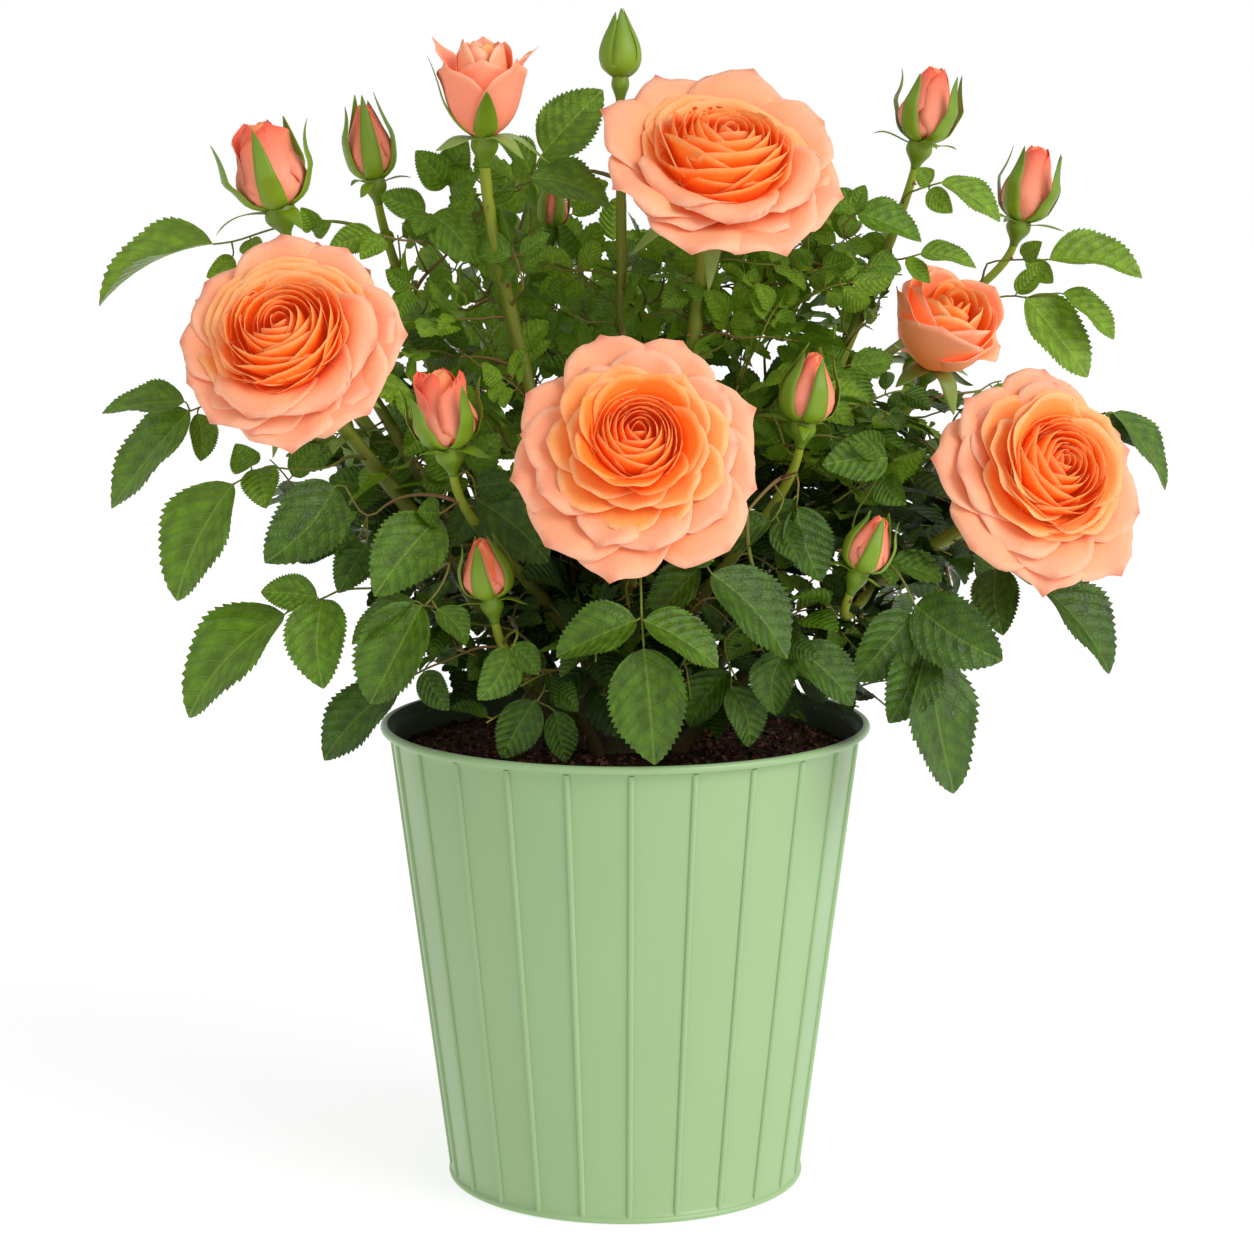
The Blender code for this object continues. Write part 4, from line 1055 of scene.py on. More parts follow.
def addSepals(heap, name, kind, radius, length, style, seed, turned, origin):
    rng = np.random.default_rng(seed + 100)
    start = rng.uniform(0, 360)
    hip = hipLength(kind, radius)
    _, cover, width, spread = budSettings[style]
    # sepals that lie against the petals, with the tip free: azimuth and cover of each
    clasping = [(start + 72 * j + rng.uniform(-6, 6), cover) for j in range(sepal["number"])]
    free = spread
    if kind != "bud":
        clasping, free = halfSepals.get(name, ()), 0.15 * spread
    for azimuth, cover in clasping:
        share = np.linspace(0.0, cover, 26)
        if kind == "bud":
            hug = budProfile(share, radius * 1.03 + sepal["off"], length)
        else:  # up the side of the cup
            foot, rise = np.array((0.003, -0.0008)), math.radians(62)
            out = foot + np.array((math.sin(rise), math.cos(rise))) * length * 0.36
            beside, above = (0.97 * radius, 0.46 * length), (0.99 * radius, 0.80 * length)
            hug = bezier((foot, out, beside, above), share * 1.1)
            hug[:, 0] += 0.0006
        loose = free * rng.uniform(0.6, 1.4) * smooth(0.35, 1.0, share / cover) ** 1.5 * radius
        hug[:, 0] += loose
        leap = np.linspace(0.1, 1, 9)[:, None]
        way = unit(hug[-1] - hug[-3])
        bow = np.array([free * rng.uniform(0.1, 1.4) * radius, 0.0])
        reach = length * rng.uniform(0.34, 0.52) * (0.75 if style == "closed" else 1)
        nod = np.array([0, 0.12 * reach])
        tip = hug[-1] + way * reach * leap + bow * leap ** 2 - nod * leap ** 3 * spread
        line = np.concatenate([hug, tip])
        wide = radius * width * (sepal["cupShare"] if kind == "half_open" else 1)
        shape = {"azimuth": azimuth, "line": line, "width": wide, "claw": 1.0, "wrap": 1.06, "tilt": 0.05}
        addPetal(heap, shape, sepalGrid, sepal["thickness"], 1, turned, origin)
    # bracts and sepals that hang out from the top of the hip
    loose = 0 if style == "closed" else sepal["hanging"][kind]
    for j in range(loose):
        reach = sepal["length"].get(kind, 1.35 * radius) * rng.uniform(0.85, 1.25)
        low = -0.0016 if kind == "bud" else -0.001
        dip = rng.uniform(-0.35, 0.25) if kind == "bud" else rng.uniform(-0.75, -0.1)
        rootAt = 0.30 * radius if kind == "bud" else 0.0042
        azimuth = -150 + 80 * j if kind == "half_open" else start + 30 + 360 * j / max(loose, 1)
        shape = {
            "azimuth": azimuth + rng.uniform(-20, 20), "foot": (rootAt, low),
            "lip": (rootAt + reach, low + dip * reach), "rise": rng.uniform(60, 80),
            "lean": rng.uniform(80, 140), "width": 0.62 * radius if kind == "bud" else sepal["width"],
            "claw": 0.9, "wrap": 2.5, "tilt": rng.uniform(-0.3, 0.3)}
        slot = 2 if kind != "bud" else 1
        addPetal(heap, shape, sepalGrid, sepal["thickness"], slot, turned, origin)
    # the hip: a round green urn on the end of the cane
    wide = 0.0056 if kind != "bud" else max(0.47 * radius, 0.0034)
    neck = cane["topRadius"][kind] * 0.96
    at = np.linspace(0, 1, 12)
    radii = mix(neck, wide, smooth(0.0, 0.62, at) ** 1.2) * (1 - 0.16 * smooth(0.62, 1.0, at))
    path = np.zeros((12, 3))
    path[:, 2] = mix(-hip - 0.0015, 0.0016, at)
    tube(heap, path @ turned.T + origin, radii, 16, 0)


buds, greens = newHeap(), newHeap()
# a young bud behind the crown
tinyBud = ("bud", (-0.031, 0.060, 0.387), (0.10, -0.10, 0.98), 0.0062, 0.021)
for name, (style, seed) in budStyles.items():
    turned, origin = headFrame(flowers[name])
    addBud(buds, *flowers[name][3:5], style, seed, turned, origin)
for name, flower in flowers.items():
    turned, origin = headFrame(flower)
    style, seed = budStyles.get(name, ("loose", 50 + bloomStyles.get(name, (0, 0))[1]))
    addSepals(greens, name, flower[0], flower[3], flower[4], style, seed, turned, origin)
turned, origin = headFrame(tinyBud)
addBud(buds, *tinyBud[3:], "tight", 12, turned, origin)
addSepals(greens, "tiny", "bud", *tinyBud[3:], "tight", 12, turned, origin)
finishPiece(heapObject("petals_buds", buds, budTones, "petal"), "rose_bud", *budStyles)
greenParts = heapObject("hips_and_sepals", greens, [hipGreen, sepalGreen, paleSepal], "petal")
finishPiece(greenParts, "rose_leaf")


leaf = {
    "ratio": 0.70, "teeth": 0.048, "forward": 0.8, "fold": 17.0, "arch": 26.0, "quilt": 0.0036,
    "wave": 0.05}
habit = {  # of a compound leaf: the share with five leaflets, and its pairs of leaflets from the tip back
    "five": 0.72, "pairAt": (0.80, 0.42), "pairSize": (0.84, 0.66), "pairTurn": (52, 74), "sag": 0.22,
    "scatter": 0.42, "faceScatter": 0.22, "leafletScatter": 0.16}
stalk = {
    "radius": 0.00042, "twig": 0.00090, "woody": 0.026, "spacing": 0.004, "step": 0.0035, "most": 22,
    "bears": 0.012, "leaflet": 0.0022}


def leafTemplate(rows, columns):
    # rows run from foot to tip, with a tooth at every second row; columns are closer at the midrib
    v = np.linspace(0, 1, rows)
    columns = np.array(columns, float)
    outline = np.sin(np.pi * v ** 0.80) ** 0.74 * (1 - 0.10 * v ** 3)
    tooth = np.where(np.arange(rows) % 2 == 1, 1.0, -1.0) * np.minimum(1, 6 * np.minimum(v, 1 - v))
    border = np.abs(columns) ** 6
    x = columns[None, :] * outline[:, None] * (1 + leaf["teeth"] * tooth[:, None] * border[None, :])
    jut = leaf["forward"] * (1 / (rows - 1)) * np.clip(tooth, 0, 1)[:, None]
    y = v[:, None] + jut * border[None, :] * (v < 0.97)[:, None]
    x[-1], y[-1], x[0] = 0.012 * columns, 1.0, 0.035 * columns
    quads = gridFaces(rows, len(columns))[0]
    uv = np.stack([(x + 1) / 2, np.clip(y, 0, 1)], -1).reshape(-1, 2)
    return x, y, quads, uv


heroLeaf = leafTemplate(41, (-1, -0.84, -0.45, -0.07, 0.07, 0.45, 0.84, 1))
plainLeaf = leafTemplate(17, (-1, -0.55, 0, 0.55, 1))


def leafSheets(template, foot, along, face, length, width, rng):
    # all arrays have one row per leaf; face is the way the upper side looks
    x, t, quads, uv = template
    rows, count, n = len(x), x.size, len(foot)
    x, t = x[None], t[None]
    out = np.abs(x)
    along = unit(along)
    face = unit(face - along * np.sum(face * along, 1, keepdims=True))
    side = np.cross(face, along)
    fold = np.radians(leaf["fold"] * rng.uniform(0.6, 1.6, n))
    arch = np.radians(leaf["arch"] * rng.uniform(0.4, 1.7, n))
    phase, twist = rng.uniform(0, 6.28, n), np.radians(rng.normal(0, 12, n))
    bend = rng.normal(0, 0.05, n)

    def each(values):
        return values[:, None, None]

    s = x * each(width) / 2
    # the blade bends down along its length, and its tip still lies the full length out
    half = arch[:, None] / 2
    along, face = along * np.cos(half) + face * np.sin(half), face * np.cos(half) - along * np.sin(half)
    bow = length / (2 * np.sin(arch / 2))
    turnAt = each(arch) * t
    reach = each(bow) * np.sin(turnAt)
    drop = -each(bow) * (1 - np.cos(turnAt))
    # the blade bulges between the side veins, less so where it has few faces
    veins = 7.5 * t - 1.1 * out - 1.5 * out ** 1.8
    deep = leaf["quilt"] * (1.0 if rows > 20 else 0.4)
    quilt = deep * each(length) * np.cos(2 * math.pi * veins) * np.minimum(1, 3 * out) * -1
    swell = np.sin(2 * math.pi * 1.4 * t + each(phase) + 1.5 * np.sign(x))
    wave = leaf["wave"] * each(width) * x ** 2 * swell
    lift = np.abs(s) * np.tan(each(fold)) + quilt + wave
    roll = each(twist) * t
    across, above = s * np.cos(roll) - lift * np.sin(roll), s * np.sin(roll) + lift * np.cos(roll)
    across = across + each(bend * length) * np.sin(np.pi * t)
    points = foot[:, None, None]
    for way, far in (
            (along, reach + above * np.sin(turnAt)), (face, drop + above * np.cos(turnAt)), (side, across)):
        points = points + way[:, None, None] * far[..., None]
    faces = (quads[None] + (np.arange(n) * count)[:, None, None]).reshape(-1, 4)
    maps = np.broadcast_to(uv[quads][None], (n, *quads.shape, 2)).reshape(-1, 4, 2)
    return points.reshape(-1, 3), faces, maps


masses = {  # middle and half sizes of each part of the crown
    "left_high": ((-0.158, 0.002, 0.374), (0.044, 0.026, 0.020)),
    "left_mid": ((-0.150, -0.012, 0.298), (0.050, 0.026, 0.024)),
    "left_low": ((-0.106, -0.038, 0.238), (0.070, 0.036, 0.036)),
    "left_front": ((-0.070, -0.078, 0.236), (0.034, 0.030, 0.038)),
    "front": ((0.014, -0.070, 0.230), (0.046, 0.054, 0.034)),
    "right_front": ((0.092, -0.056, 0.222), (0.044, 0.034, 0.032)),
    "right_low": ((0.150, 0.010, 0.240), (0.044, 0.034, 0.028)),
    "right_high": ((0.174, 0.084, 0.350), (0.040, 0.028, 0.030)),
    "right_mid": ((0.092, 0.014, 0.322), (0.038, 0.040, 0.052)),
    "upper": ((0.020, 0.034, 0.346), (0.050, 0.034, 0.042)),
    "upper_left": ((-0.056, 0.024, 0.388), (0.042, 0.030, 0.040)),
    "left_inner": ((-0.072, 0.006, 0.316), (0.044, 0.038, 0.044)),
    "inner": ((0.000, 0.014, 0.262), (0.058, 0.040, 0.044)),
    "back_left": ((-0.118, 0.070, 0.262), (0.056, 0.056, 0.050)),
    "back_right": ((0.142, 0.080, 0.276), (0.060, 0.056, 0.052)),
    "back_low": ((-0.012, 0.104, 0.232), (0.070, 0.058, 0.036)),
    "back_high": ((-0.030, 0.100, 0.356), (0.058, 0.052, 0.050)),
}
# what fills the crown: a part, or a middle and half sizes, then how many compound leaves
# and the length of their end leaflets
fill = (
    ("left_high", 5, 0.018), ("left_mid", 5, 0.020), ("left_low", 36, 0.022),
    ("left_front", 14, 0.020), ("front", 34, 0.023), ("right_front", 34, 0.021),
    ("right_low", 22, 0.021), ("right_high", 9, 0.020), ("right_mid", 40, 0.018), ("upper", 40, 0.018),
    ("upper_left", 26, 0.018), ("left_inner", 40, 0.019), ("inner", 84, 0.024),
    (((0.072, 0.034, 0.368), (0.050, 0.026, 0.032)), 46, 0.017),
    (((0.076, 0.034, 0.292), (0.046, 0.030, 0.036)), 34, 0.021),
    (((0.090, -0.018, 0.256), (0.036, 0.030, 0.026)), 16, 0.020), ("back_left", 42, 0.025),
    ("back_right", 46, 0.025), ("back_low", 60, 0.025), ("back_high", 40, 0.022))

# sprays that stand out of the crown, in millimetres: depth, the stalk's x and z from the limb outwards,
# then each leaflet's foot, tip and width across, and the tone
# the higher sprays take the lighter tones: painted light from above
sprays = (
    (2, [(-130, 392), (-145, 388), (-156, 384), (-165, 383)],
     [(-165, 383, -211, 358, 18), (-157, 378, -167, 370, 10), (-150, 385, -145, 376, 10)], 3),
    (-18, [(-144, 324), (-160, 323), (-173, 318)],
     [(-173, 318, -205, 279, 26), (-175, 322, -208, 317, 16), (-170, 317, -169, 298, 11)], 2),
    (-46, [(-115, 298), (-126, 297), (-141, 299), (-153, 292)],
     [(-153, 292, -176, 246, 27), (-143, 298, -139, 284, 16), (-146, 299, -151, 309, 13)], 2),
    (-52, [(-91, 287), (-101, 277), (-109, 292)],
     [(-113, 292, -139, 264, 29), (-104, 272, -127, 262, 12), (-101, 269, -111, 252, 17)], 0),
    (-56, [(-80, 254), (-92, 252), (-111, 252), (-118, 248), (-132, 243)],
     [(-133, 242, -171, 201, 25), (-118, 248, -117, 215, 25), (-120, 249, -142, 251, 15)], 2),
    (-80, [(-66, 267), (-71, 255), (-77, 249)],
     [(-78, 249, -98, 211, 28), (-72, 248, -61, 234, 12), (-81, 251, -105, 234, 13)], 1),
    (-62, [(-66, 286), (-70, 283), (-76, 280)], [(-73, 280, -96, 253, 28), (-72, 283, -80, 284, 12)], 1),
    (-70, [(-68, 226), (-77, 223), (-88, 217)], [(-88, 217, -117, 187, 21), (-78, 222, -68, 208, 13)], 0),
    (-86, [(-40, 241), (-43, 234)], [(-44, 233, -56, 215, 16), (-43, 235, -33, 224, 11)], 1),
    (-74, [(-30, 222), (-31, 215), (-34, 211)],
     [(-35, 211, -48, 189, 18), (-27, 207, -23, 187, 14), (-28, 215, -18, 209, 11)], 0),
    (-102, [(6, 259), (6, 250), (7, 237)],
     [(7, 236, 11, 192, 31), (4, 247, -26, 233, 20), (7, 247, 35, 229, 16)], 1),
    (-84, [(44, 283), (37, 272), (31, 265)],
     [(33, 262, 62, 229, 25), (28, 265, 8, 244, 17), (33, 267, 18, 272, 11)], 0),
    (-66, [(62, 288), (58, 282)], [(56, 280, 30, 266, 15), (59, 280, 67, 265, 13)], 0),
    (-62, [(67, 299), (67, 292), (66, 285)], [(66, 285, 76, 256, 21), (65, 288, 61, 270, 10)], 0),
    (-34, [(89, 276), (97, 288), (103, 301)],
     [(103, 301, 77, 299, 19), (101, 303, 87, 310, 12), (102, 293, 110, 284, 13)], 1),
    (-72, [(56, 246), (60, 238), (65, 231)],
     [(65, 231, 88, 209, 20), (62, 231, 58, 206, 18), (63, 235, 73, 231, 11)], 0),
    (-70, [(37, 234), (40, 226), (41, 218)], [(41, 216, 48, 192, 17), (40, 222, 25, 200, 15)], 0),
    (-58, [(107, 258), (112, 248), (115, 237), (118, 228)],
     [(118, 227, 129, 171, 26), (112, 242, 89, 217, 24), (113, 246, 146, 226, 28),
      (116, 228, 102, 202, 23)], 0),
    (0, [(136, 262), (150, 256), (164, 246)],
     [(168, 245, 197, 209, 20), (150, 252, 152, 227, 20), (161, 250, 177, 257, 10)], 0),
    (26, [(178, 306), (190, 312), (200, 313)], [(200, 313, 222, 281, 13), (197, 313, 210, 299, 10)], 1),
    (96, [(154, 371), (168, 372), (180, 372)],
     [(181, 372, 221, 364, 18), (170, 373, 177, 380, 9), (171, 371, 183, 362, 9)], 3),
    (92, [(154, 355), (165, 357), (171, 356)],
     [(171, 356, 198, 322, 25), (187, 358, 209, 338, 13), (167, 358, 177, 369, 10)], 3),
    (22, [(113, 402), (121, 405), (128, 407)],
     [(128, 407, 152, 391, 13), (123, 406, 117, 413, 9), (123, 404, 132, 395, 10)], 3),
    (24, [(108, 375), (114, 376), (120, 378)], [(120, 378, 143, 372, 12), (114, 376, 124, 366, 9)], 3),
    (20, [(87, 387), (89, 391), (94, 395)],
     [(94, 395, 120, 383, 18), (93, 395, 80, 403, 10), (92, 394, 97, 406, 9)], 2),
    (14, [(-38, 384), (-38, 398), (-38, 410)],
     [(-33, 419, -9, 444, 24), (-38, 409, -6, 397, 19), (-38, 411, -52, 424, 13),
      (-37, 400, -43, 403, 9)], 2),
    (20, [(-69, 380), (-72, 392), (-80, 394)],
     [(-78, 394, -61, 375, 19), (-81, 395, -99, 402, 13), (-79, 394, -84, 386, 12)], 2),
    (20, [(-63, 390), (-67, 400), (-72, 407)],
     [(-72, 406, -84, 420, 15), (-71, 406, -59, 411, 14), (-72, 409, -63, 424, 14)], 2),
    (8, [(-91, 384), (-97, 386), (-101, 387)], [(-101, 387, -119, 382, 13), (-97, 385, -106, 377, 10)], 3),
    (4, [(-123, 385), (-125, 390)], [(-125, 389, -129, 398, 9), (-125, 388, -117, 392, 8)], 3),
    (-46, [(-61, 298), (-59, 292), (-58, 286)],
     [(-58, 286, -30, 262, 26), (-58, 291, -41, 294, 13), (-58, 286, -68, 268, 13)], 0),
    (8, [(-79, 360), (-83, 364), (-89, 367)], [(-87, 367, -96, 373, 10), (-87, 365, -92, 353, 10)], 2),
)


def massShare(point, name):
    centre, half = masses[name]
    return np.linalg.norm((np.asarray(point) - centre) / half, axis=-1)


def nearestMass(point):
    return min(masses, key=lambda name: float(massShare(point, name)))


view = {"place": (0, -1.40, 0.450), "tilt": 81.0, "lens": 100.1, "sensor": 36, "shift": 1.7 / 1254}
eye = np.array(view["place"])
crown = np.array((
    (-79, 196), (-84, 223), (-92, 250), (-116, 262), (-124, 280), (-119, 301), (-97, 313), (-102, 349),
    (-118, 376), (-112, 395), (-90, 402), (-85, 420), (-62, 424), (-26, 420), (6, 420), (30, 401),
    (78, 395), (90, 406), (121, 402), (120, 376), (106, 361), (122, 333), (145, 321), (137, 288),
    (134, 256), (114, 239), (103, 219), (98, 198), (71, 184), (-2, 177), (-63, 184))) / 1000
shown = []  # middle and radius of the leaflets that stand in front


def inCrown(points, wide):
    # True inside the crown's outline, as seen from the front
    scale = -eye[1] / (points[:, 1] - eye[1])
    x, z = points[:, 0] * scale / wide, eye[2] + (points[:, 2] - eye[2]) * scale
    a, b = crown, np.roll(crown, -1, axis=0)
    crosses = (a[:, 1][:, None] > z) != (b[:, 1][:, None] > z)
    rise = np.where(b[:, 1] == a[:, 1], 1e-9, b[:, 1] - a[:, 1])
    at = a[:, 0][:, None] + (z - a[:, 1][:, None]) * ((b[:, 0] - a[:, 0]) / rise)[:, None]
    return (crosses & (x < at)).sum(0) % 2 == 1


def screens(points, centre, radius):
    # True for points between a disc and the eye
    way = unit(eye - centre)
    offset = points - centre
    ahead = offset @ way
    return (ahead > 0) & (np.linalg.norm(offset - ahead[:, None] * way, axis=1) < radius)


# how far leaves keep off the flowers, the rim and the compost
keepOff = {
    "ahead": {"bloom": (0.10, 0.006), "half_open": (0.045, -0.012), "bud": (0.045, -0.012)},
    "beside": 0.003, "widening": 0.25, "facingBack": 0.12, "screen": 0.002,
    "aboveRim": 0.012, "rim": 0.087, "aboveSoil": 0.003, "outside": 0.1055}


def inTheWay(points):
    # True for points inside or just in front of a flower, or too near the bucket
    points = np.atleast_2d(points)
    bad = np.zeros(len(points), bool)
    for kind, foot, facing, radius, length, _, _ in flowers.values():
        facing, foot = unit(facing), np.array(foot)
        offset = points - foot
        up = offset @ facing
        out = np.linalg.norm(offset - up[:, None] * facing, axis=1)
        ahead, low = keepOff["ahead"][kind]
        wide = radius * 1.02 + keepOff["beside"] + keepOff["widening"] * np.maximum(up - length, 0)
        bad |= (up > low) & (up < ahead) & (out < wide)
        if facing[1] < keepOff["facingBack"]:
            bad |= screens(points, foot + facing * length * 0.5, radius * 1.02 + keepOff["screen"])
    out = np.linalg.norm(points[:, :2], axis=1)
    bad |= (points[:, 2] < bucket["height"] + keepOff["aboveRim"]) & (out > keepOff["rim"])
    bad |= (points[:, 2] < soilHeight(0) + keepOff["aboveSoil"]) & (out <= keepOff["outside"])
    return bad


# limbs that twigs may spring from: the canes first, then every twig that has grown
limbs = {"at": [], "way": [], "weight": []}


def addLimb(path, weight):
    path = np.asarray(path)
    limbs["at"].append(path)
    limbs["way"].append(unit(np.gradient(path, axis=0)))
    limbs["weight"].append(np.full(len(path), weight))


for name, (route, low, high) in canePlans.items():
    length = np.linalg.norm(np.diff(np.array(route), axis=0), axis=1).sum()
    share = np.linspace(0.0, 0.86, max(4, int(length / stalk["spacing"])))
    path = bezier(route, share)
    addLimb(path[path[:, 2] > 0.196], 0.0)

twigs = newHeap()
# leaflets waiting to be meshed: hero or not, foot, along, face, length, width, tone
leafJobs = {name: [] for name in masses}
rng = np.random.default_rng(2024)


def cutCorners(path, times):
    for _ in range(times):
        cut = np.stack([mix(path[:-1], path[1:], share) for share in (0.25, 0.75)], 1)
        path = np.concatenate([path[:1], cut.reshape(-1, 3), path[-1:]])
    return path


def evenly(path, step, most):
    # the same path with points at even steps
    arc = np.concatenate([[0], np.cumsum(np.linalg.norm(np.diff(path, axis=0), axis=1))])
    want = np.linspace(0, arc[-1], int(np.clip(arc[-1] / step, 5, most)))
    return np.stack([np.interp(want, arc, path[:, k]) for k in range(3)], 1), want


def growTwig(stem, thin, rng):
    # from the nearest limb on into a leaf's stalk, and the twig becomes a limb for later leaves
    at, way = np.concatenate(limbs["at"]), np.concatenate(limbs["way"])
    target, arrive = stem[0], unit(stem[1] - stem[0])
    offset = target - at
    away = np.maximum(np.linalg.norm(offset, axis=1), 0.0005)
    straight = offset / away[:, None]
    cost = away * (1.9 - 1.0 * (straight @ arrive)) + 0.35 * np.maximum(-offset[:, 2], 0)
    cost = cost + np.concatenate(limbs["weight"])
    for best in np.argsort(cost)[:60:4]:
        start, gap = at[best], away[best]
        knee = start + unit(0.35 * way[best] + straight[best]) * gap * 0.45
        if not inTheWay(bezier((start, knee, knee, target), np.linspace(0.3, 0.9, 5))).any():
            break
    path, arc = evenly(cutCorners(np.concatenate([[start, knee], stem]), 3), stalk["step"], stalk["most"])
    woody = gap > stalk["woody"]
    low = stalk["twig"] * (1 + 6 * max(gap - 0.02, 0)) if woody else stalk["radius"] * 1.5
    radii = np.interp(arc, [0, gap, arc[-1]], [low, stalk["radius"] * 1.15, thin])
    tube(twigs, path, radii, 6 if woody else 5, int(rng.random() < 0.3))
    if gap > stalk["bears"]:
        addLimb(path[(arc > 0.12 * gap) & (arc < 0.95 * gap)], 0.003)
    return path


def addLeaflet(hero, foot, along, face, length, width, tone):
    middle = foot + along * length * 0.5
    leafJobs[nearestMass(middle)].append((hero, foot, along, face, length, width, tone))


# the sprays in front and at the ends first
for depth, stem, leaflets, tone in sprays:
    spine = np.array([(x, depth, z) for x, z in stem], float) / 1000
    spine[:, 1] += np.linspace(0.004, 0.0, len(spine))
    curve = growTwig(spine, stalk["radius"], rng)
    for footX, footZ, tipX, tipZ, seen in leaflets:
        foot = np.array((footX, depth, footZ)) / 1000
        seenLength, width = math.hypot(tipX - footX, tipZ - footZ) / 1000, seen / 1000
        full = seenLength * leaf["ratio"]
        dip, roll = 0.0, 0.0
        length = seenLength
        if width > full:
            length = min(width / leaf["ratio"], 1.35 * seenLength)
            dip = math.sqrt(max(length ** 2 - seenLength ** 2, 0))
        else:
            roll = math.acos(max(width / full, 0.35))
        width = max(length * leaf["ratio"] * 0.98, width)
        flat = unit(((tipX - footX), 0.0, (tipZ - footZ)))
        along = unit(flat * seenLength + np.array((0, -1, 0)) * dip)
        face = unit(np.cross(along, np.cross((0, -1.0, 0.16), along)))
        up = np.cross(along, face)
        face = face * math.cos(roll) + up * math.sin(roll) * (1 if up[2] > 0 else -1)
        nearest = curve[np.argmin(np.linalg.norm(curve - foot, axis=1))]
        foot[1] += rng.uniform(-0.001, 0.001)
        if np.linalg.norm(nearest - foot) > 0.0006:
            ends = (nearest, mix(nearest, foot, 0.4), foot - along * 0.0015, foot + along * 0.001)
            way = bezier(ends, np.linspace(0, 1, 5))
            tube(twigs, way, np.linspace(stalk["radius"], stalk["radius"] * 0.8, 5), 5, 0)
        addLeaflet(True, foot, along, face, length, width, tone)
        shown.append((foot + along * length * 0.5, 0.40 * seenLength))

# then leaves fill each part of the crown
shown.append((np.array(tinyBud[1]) + (0, 0, 0.010), 0.011))
centreOfBush = np.array((0.0, 0.02, 0.24))


def compoundLeaf(station, size, tone, rng):
    outward = unit(station - centreOfBush)
    flat = unit(outward * (1, 1, 0))
    along = unit(outward * 0.75 + flat * 0.25 + rng.normal(0, habit["scatter"], 3) + (0, 0, 0.05))
    face = unit((0, 0, 0.75) + flat * 0.62 + rng.normal(0, habit["faceScatter"], 3))
    face = unit(face - along * np.dot(face, along))
    reach = size * rng.uniform(0.85, 1.1)
    foot = station - along * (reach + size) * 0.5
    if foot[2] < bucket["height"] + 0.008 or inTheWay(foot)[0]:
        return False
    sag = np.array((0, 0, -habit["sag"] * reach))
    share = np.linspace(0, 1, 6)
    spine = foot + along * reach * share[:, None] + sag * share[:, None] ** 2
    end = unit(spine[-1] - spine[-2])
    side = np.cross(face, along)
    jobs = [(spine[-1], end, 1.0)]
    for number in range(2 if rng.random() < habit["five"] else 1):
        at = habit["pairAt"][number]
        root = foot + along * reach * at + sag * at * at
        for turn in (1, -1):
            angle = math.radians(rng.uniform(*habit["pairTurn"]))
            way = unit(along * math.cos(angle) + side * turn * math.sin(angle)
                       + face * rng.uniform(-0.25, 0.05) + (0, 0, -0.12))
            jobs.append((root, way, habit["pairSize"][number] * rng.uniform(0.85, 1.1)))
    kept = 0
    for root, way, scale in jobs:
        length = size * scale * rng.uniform(0.92, 1.08)
        width = length * leaf["ratio"] * rng.uniform(0.9, 1.1)
        up = unit(face + rng.normal(0, habit["leafletScatter"], 3))
        across = unit(np.cross(up, way)) * width * 0.45
        start = root + way * stalk["leaflet"]
        probe = start + way * length * np.array((0.1, 0.45, 0.75, 1.0))[:, None]
        probe[3] -= up * length * 0.2
        probe = np.concatenate([probe, probe[1:3] + across, probe[1:3] - across])
        wide = 1.16 if station[1] > 0.05 else 1.0
        if inTheWay(probe).any() or not inCrown(probe[1:3], wide).all():
            continue
        if station[1] < 0.06 and any(screens(probe, *disc).any() for disc in shown):
            continue
        ends = (root, root + way * 0.0008, start - way * 0.0006, start + way * 0.0008)
        link = bezier(ends, np.linspace(0, 1, 3))
        tube(twigs, link, np.full(3, stalk["radius"] * 0.75), 4, 1)
        addLeaflet(False, start, way, up, length, width, tone)
        kept += 1
    if kept:
        growTwig(spine, stalk["radius"] * 0.8, rng)
    return kept > 0


def stationsIn(part, count, rng):
    # points spread over one part of the crown, none too close to another
    centre, half = (np.array(v) for v in part)
    found = []
    room = 0.62 * (8 * np.prod(half) / max(count, 1)) ** (1 / 3)
    for _ in range(4000):
        if len(found) >= count:
            break
        way = unit(rng.normal(0, 1, 3))
        point = centre + way * half * rng.uniform(0, 1) ** 0.42 * 0.98
        if point[2] < 0.2 or inTheWay(point)[0]:
            continue
        if any(np.linalg.norm(point - other) < room for other in found):
            room *= 0.995
            continue
        found.append(point)
    return found


stations = []
for part, count, size in fill:
    for point in stationsIn(masses[part] if isinstance(part, str) else part, count, rng):
        stations.append((point, size * rng.uniform(0.8, 1.2)))
reachable = np.concatenate(limbs["at"])
stations.sort(key=lambda item: float(np.min(np.linalg.norm(reachable - item[0], axis=1))))
grown = 0
# shares of the leaf tones: high up, half way, and low down at the outside and inside; the lighter tones
# high up are painted light, and the darker ones with leafShade low and inside are painted shade
toneShares = ((0.0, 0.06, 0.36, 0.58, 0.0), (0.06, 0.28, 0.36, 0.28, 0.02),
              (0.46, 0.32, 0.04, 0.0, 0.18), (0.40, 0.10, 0.0, 0.0, 0.50))
for point, size in stations:
    out = np.linalg.norm((point - centreOfBush) / (0.16, 0.12, 0.16))
    level = 0 if point[2] > 0.335 else 1 if point[2] > 0.29 else 2 if out > 0.75 else 3
    tone = int(rng.choice(5, p=toneShares[level]))
    grown += compoundLeaf(point, size, tone, rng)
print("compound leaves:", grown, "of", len(stations))

# the young bud's stalk
tinyHip = np.array(tinyBud[1]) - unit(tinyBud[2]) * (hipLength("bud", tinyBud[3]) + 0.001)
growTwig(np.array([tinyHip - unit(tinyBud[2]) * 0.006, tinyHip]), 0.0011, rng)

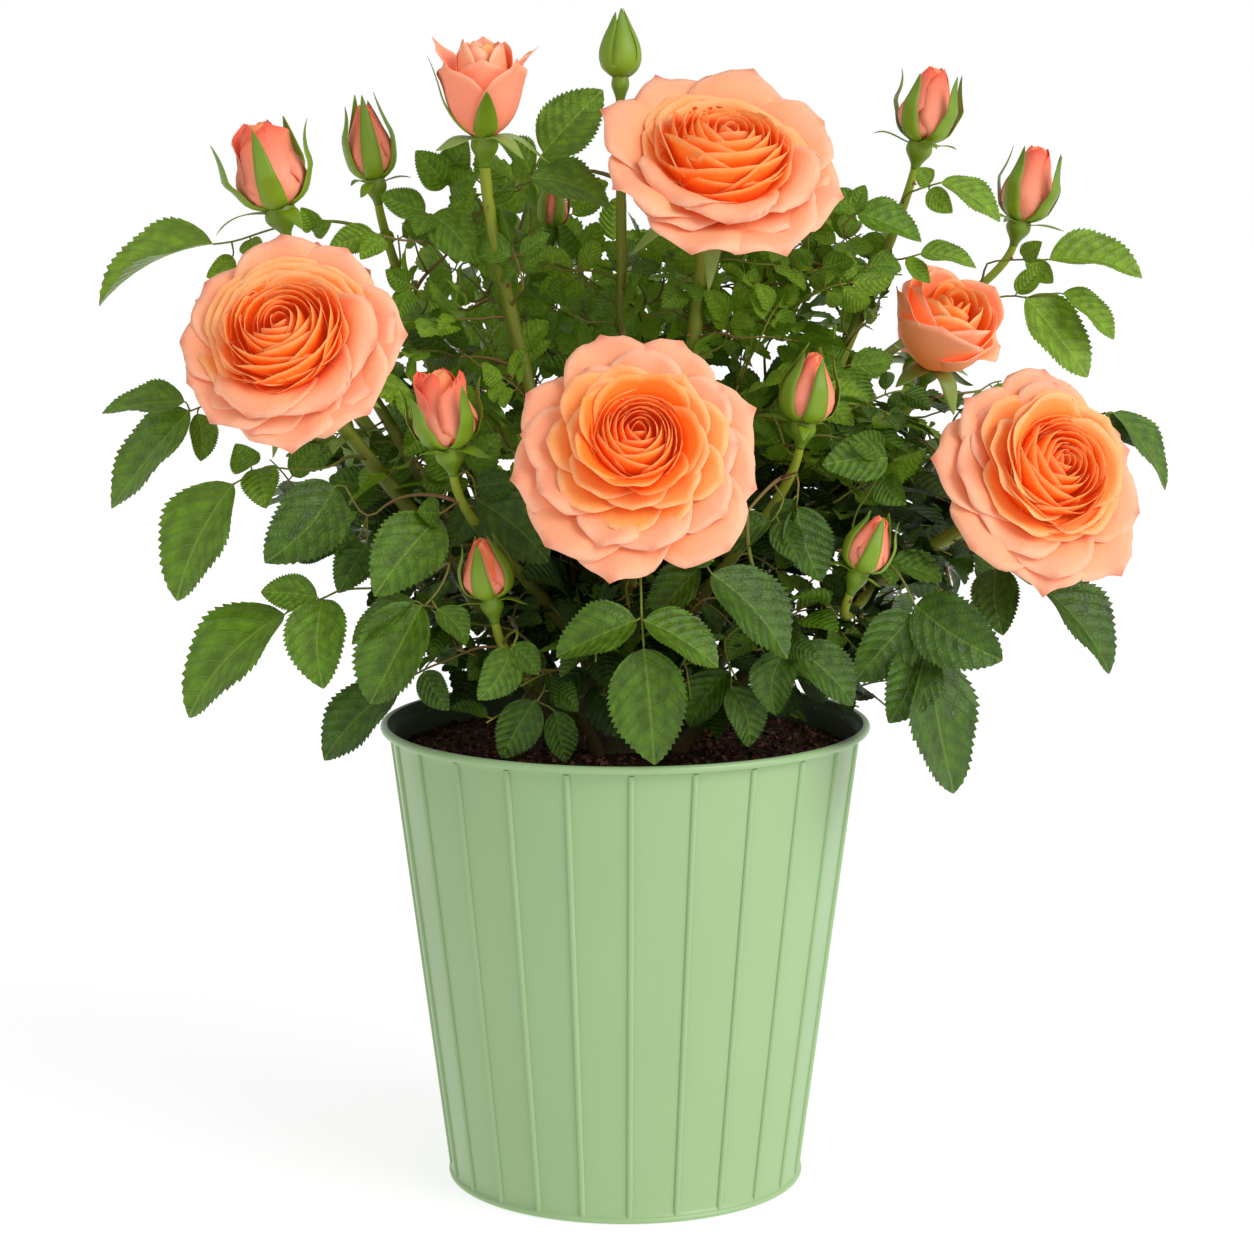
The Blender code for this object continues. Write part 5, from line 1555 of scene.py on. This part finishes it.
for name, jobs in leafJobs.items():
    heap = newHeap()
    for hero, template in ((True, heroLeaf), (False, plainLeaf)):
        for tone in range(len(leafTones)):
            rows = [job for job in jobs if job[0] == hero and job[6] == tone]
            if rows:
                foot, along, face = (np.array([row[i] for row in rows], float) for i in (1, 2, 3))
                length, width = (np.array([row[i] for row in rows], float) for i in (4, 5))
                points, faces, maps = leafSheets(template, foot, along, face, length, width, rng)
                pile(heap, points, faces, maps, tone)
    finishPiece(heapObject("foliage_" + name, heap, leafTones, "leaf"), "rose_leaf", "leaves_" + name)
finishPiece(heapObject("twigs_and_stalks", twigs, [twigBark, redStalk], "cane"), "green_cane")


studio = {
    "floor": 8.0, "floorTop": -0.0003, "floorFoot": -0.01, "floorGlow": 0.750, "sky": 0.665, "sun": 1.95,
    "softness": 42.0, "sunFrom": (0.80, -0.60, 0.56)}


def makeStage():
    heap = newHeap()
    edge, top, foot = studio["floor"], studio["floorTop"], studio["floorFoot"]
    lathe(heap, [(0, top), (edge - 0.05, top), (edge, top), (edge, foot), (0, foot)], 96, [0] * 4)
    material, tree, shader = newMaterial("floorWhite", 0.9, 0.0)
    place = addNode(tree, "TexCoord").outputs["Object"]
    pale = ramped(tree, noise(tree, place, 3.0), ((0.0, (0.348,) * 3), (1.0, (0.352,) * 3)))
    tree.links.new(pale, shader.inputs["Base Color"])
    glowing(shader, (1.0, 1.0, 1.0), studio["floorGlow"])
    floor = heapObject("studio_floor", heap, [material], "floor")
    world = bpy.data.worlds.new("studio")
    scene.world = world
    world.use_nodes = True
    tree = world.node_tree
    sky = tree.nodes["Background"]
    sky.inputs["Color"].default_value = (1.0, 1.0, 1.0, 1)
    seen = addNode(tree, "LightPath").outputs["Is Camera Ray"]
    tree.links.new(ranged(tree, seen, 0.0, 1.0, studio["sky"], 1.0), sky.inputs["Strength"])
    sun = bpy.data.lights.new("softKey", "SUN")
    sun.energy, sun.angle = studio["sun"], math.radians(studio["softness"])
    key = bpy.data.objects.new("softKey", sun)
    key.rotation_euler = Vector(studio["sunFrom"]).to_track_quat("Z", "Y").to_euler()
    scene.collection.objects.link(key)


def makeCamera():
    lens = bpy.data.cameras.new("frontView")
    lens.lens, lens.sensor_width, lens.shift_x = view["lens"], view["sensor"], view["shift"]
    camera = bpy.data.objects.new("frontView", lens)
    camera.location = view["place"]
    camera.rotation_euler = (math.radians(view["tilt"]), 0, 0)
    scene.collection.objects.link(camera)
    scene.camera = camera


makeStage()
makeCamera()
scene.view_settings.view_transform = "Standard"
print("stage, light and camera set")
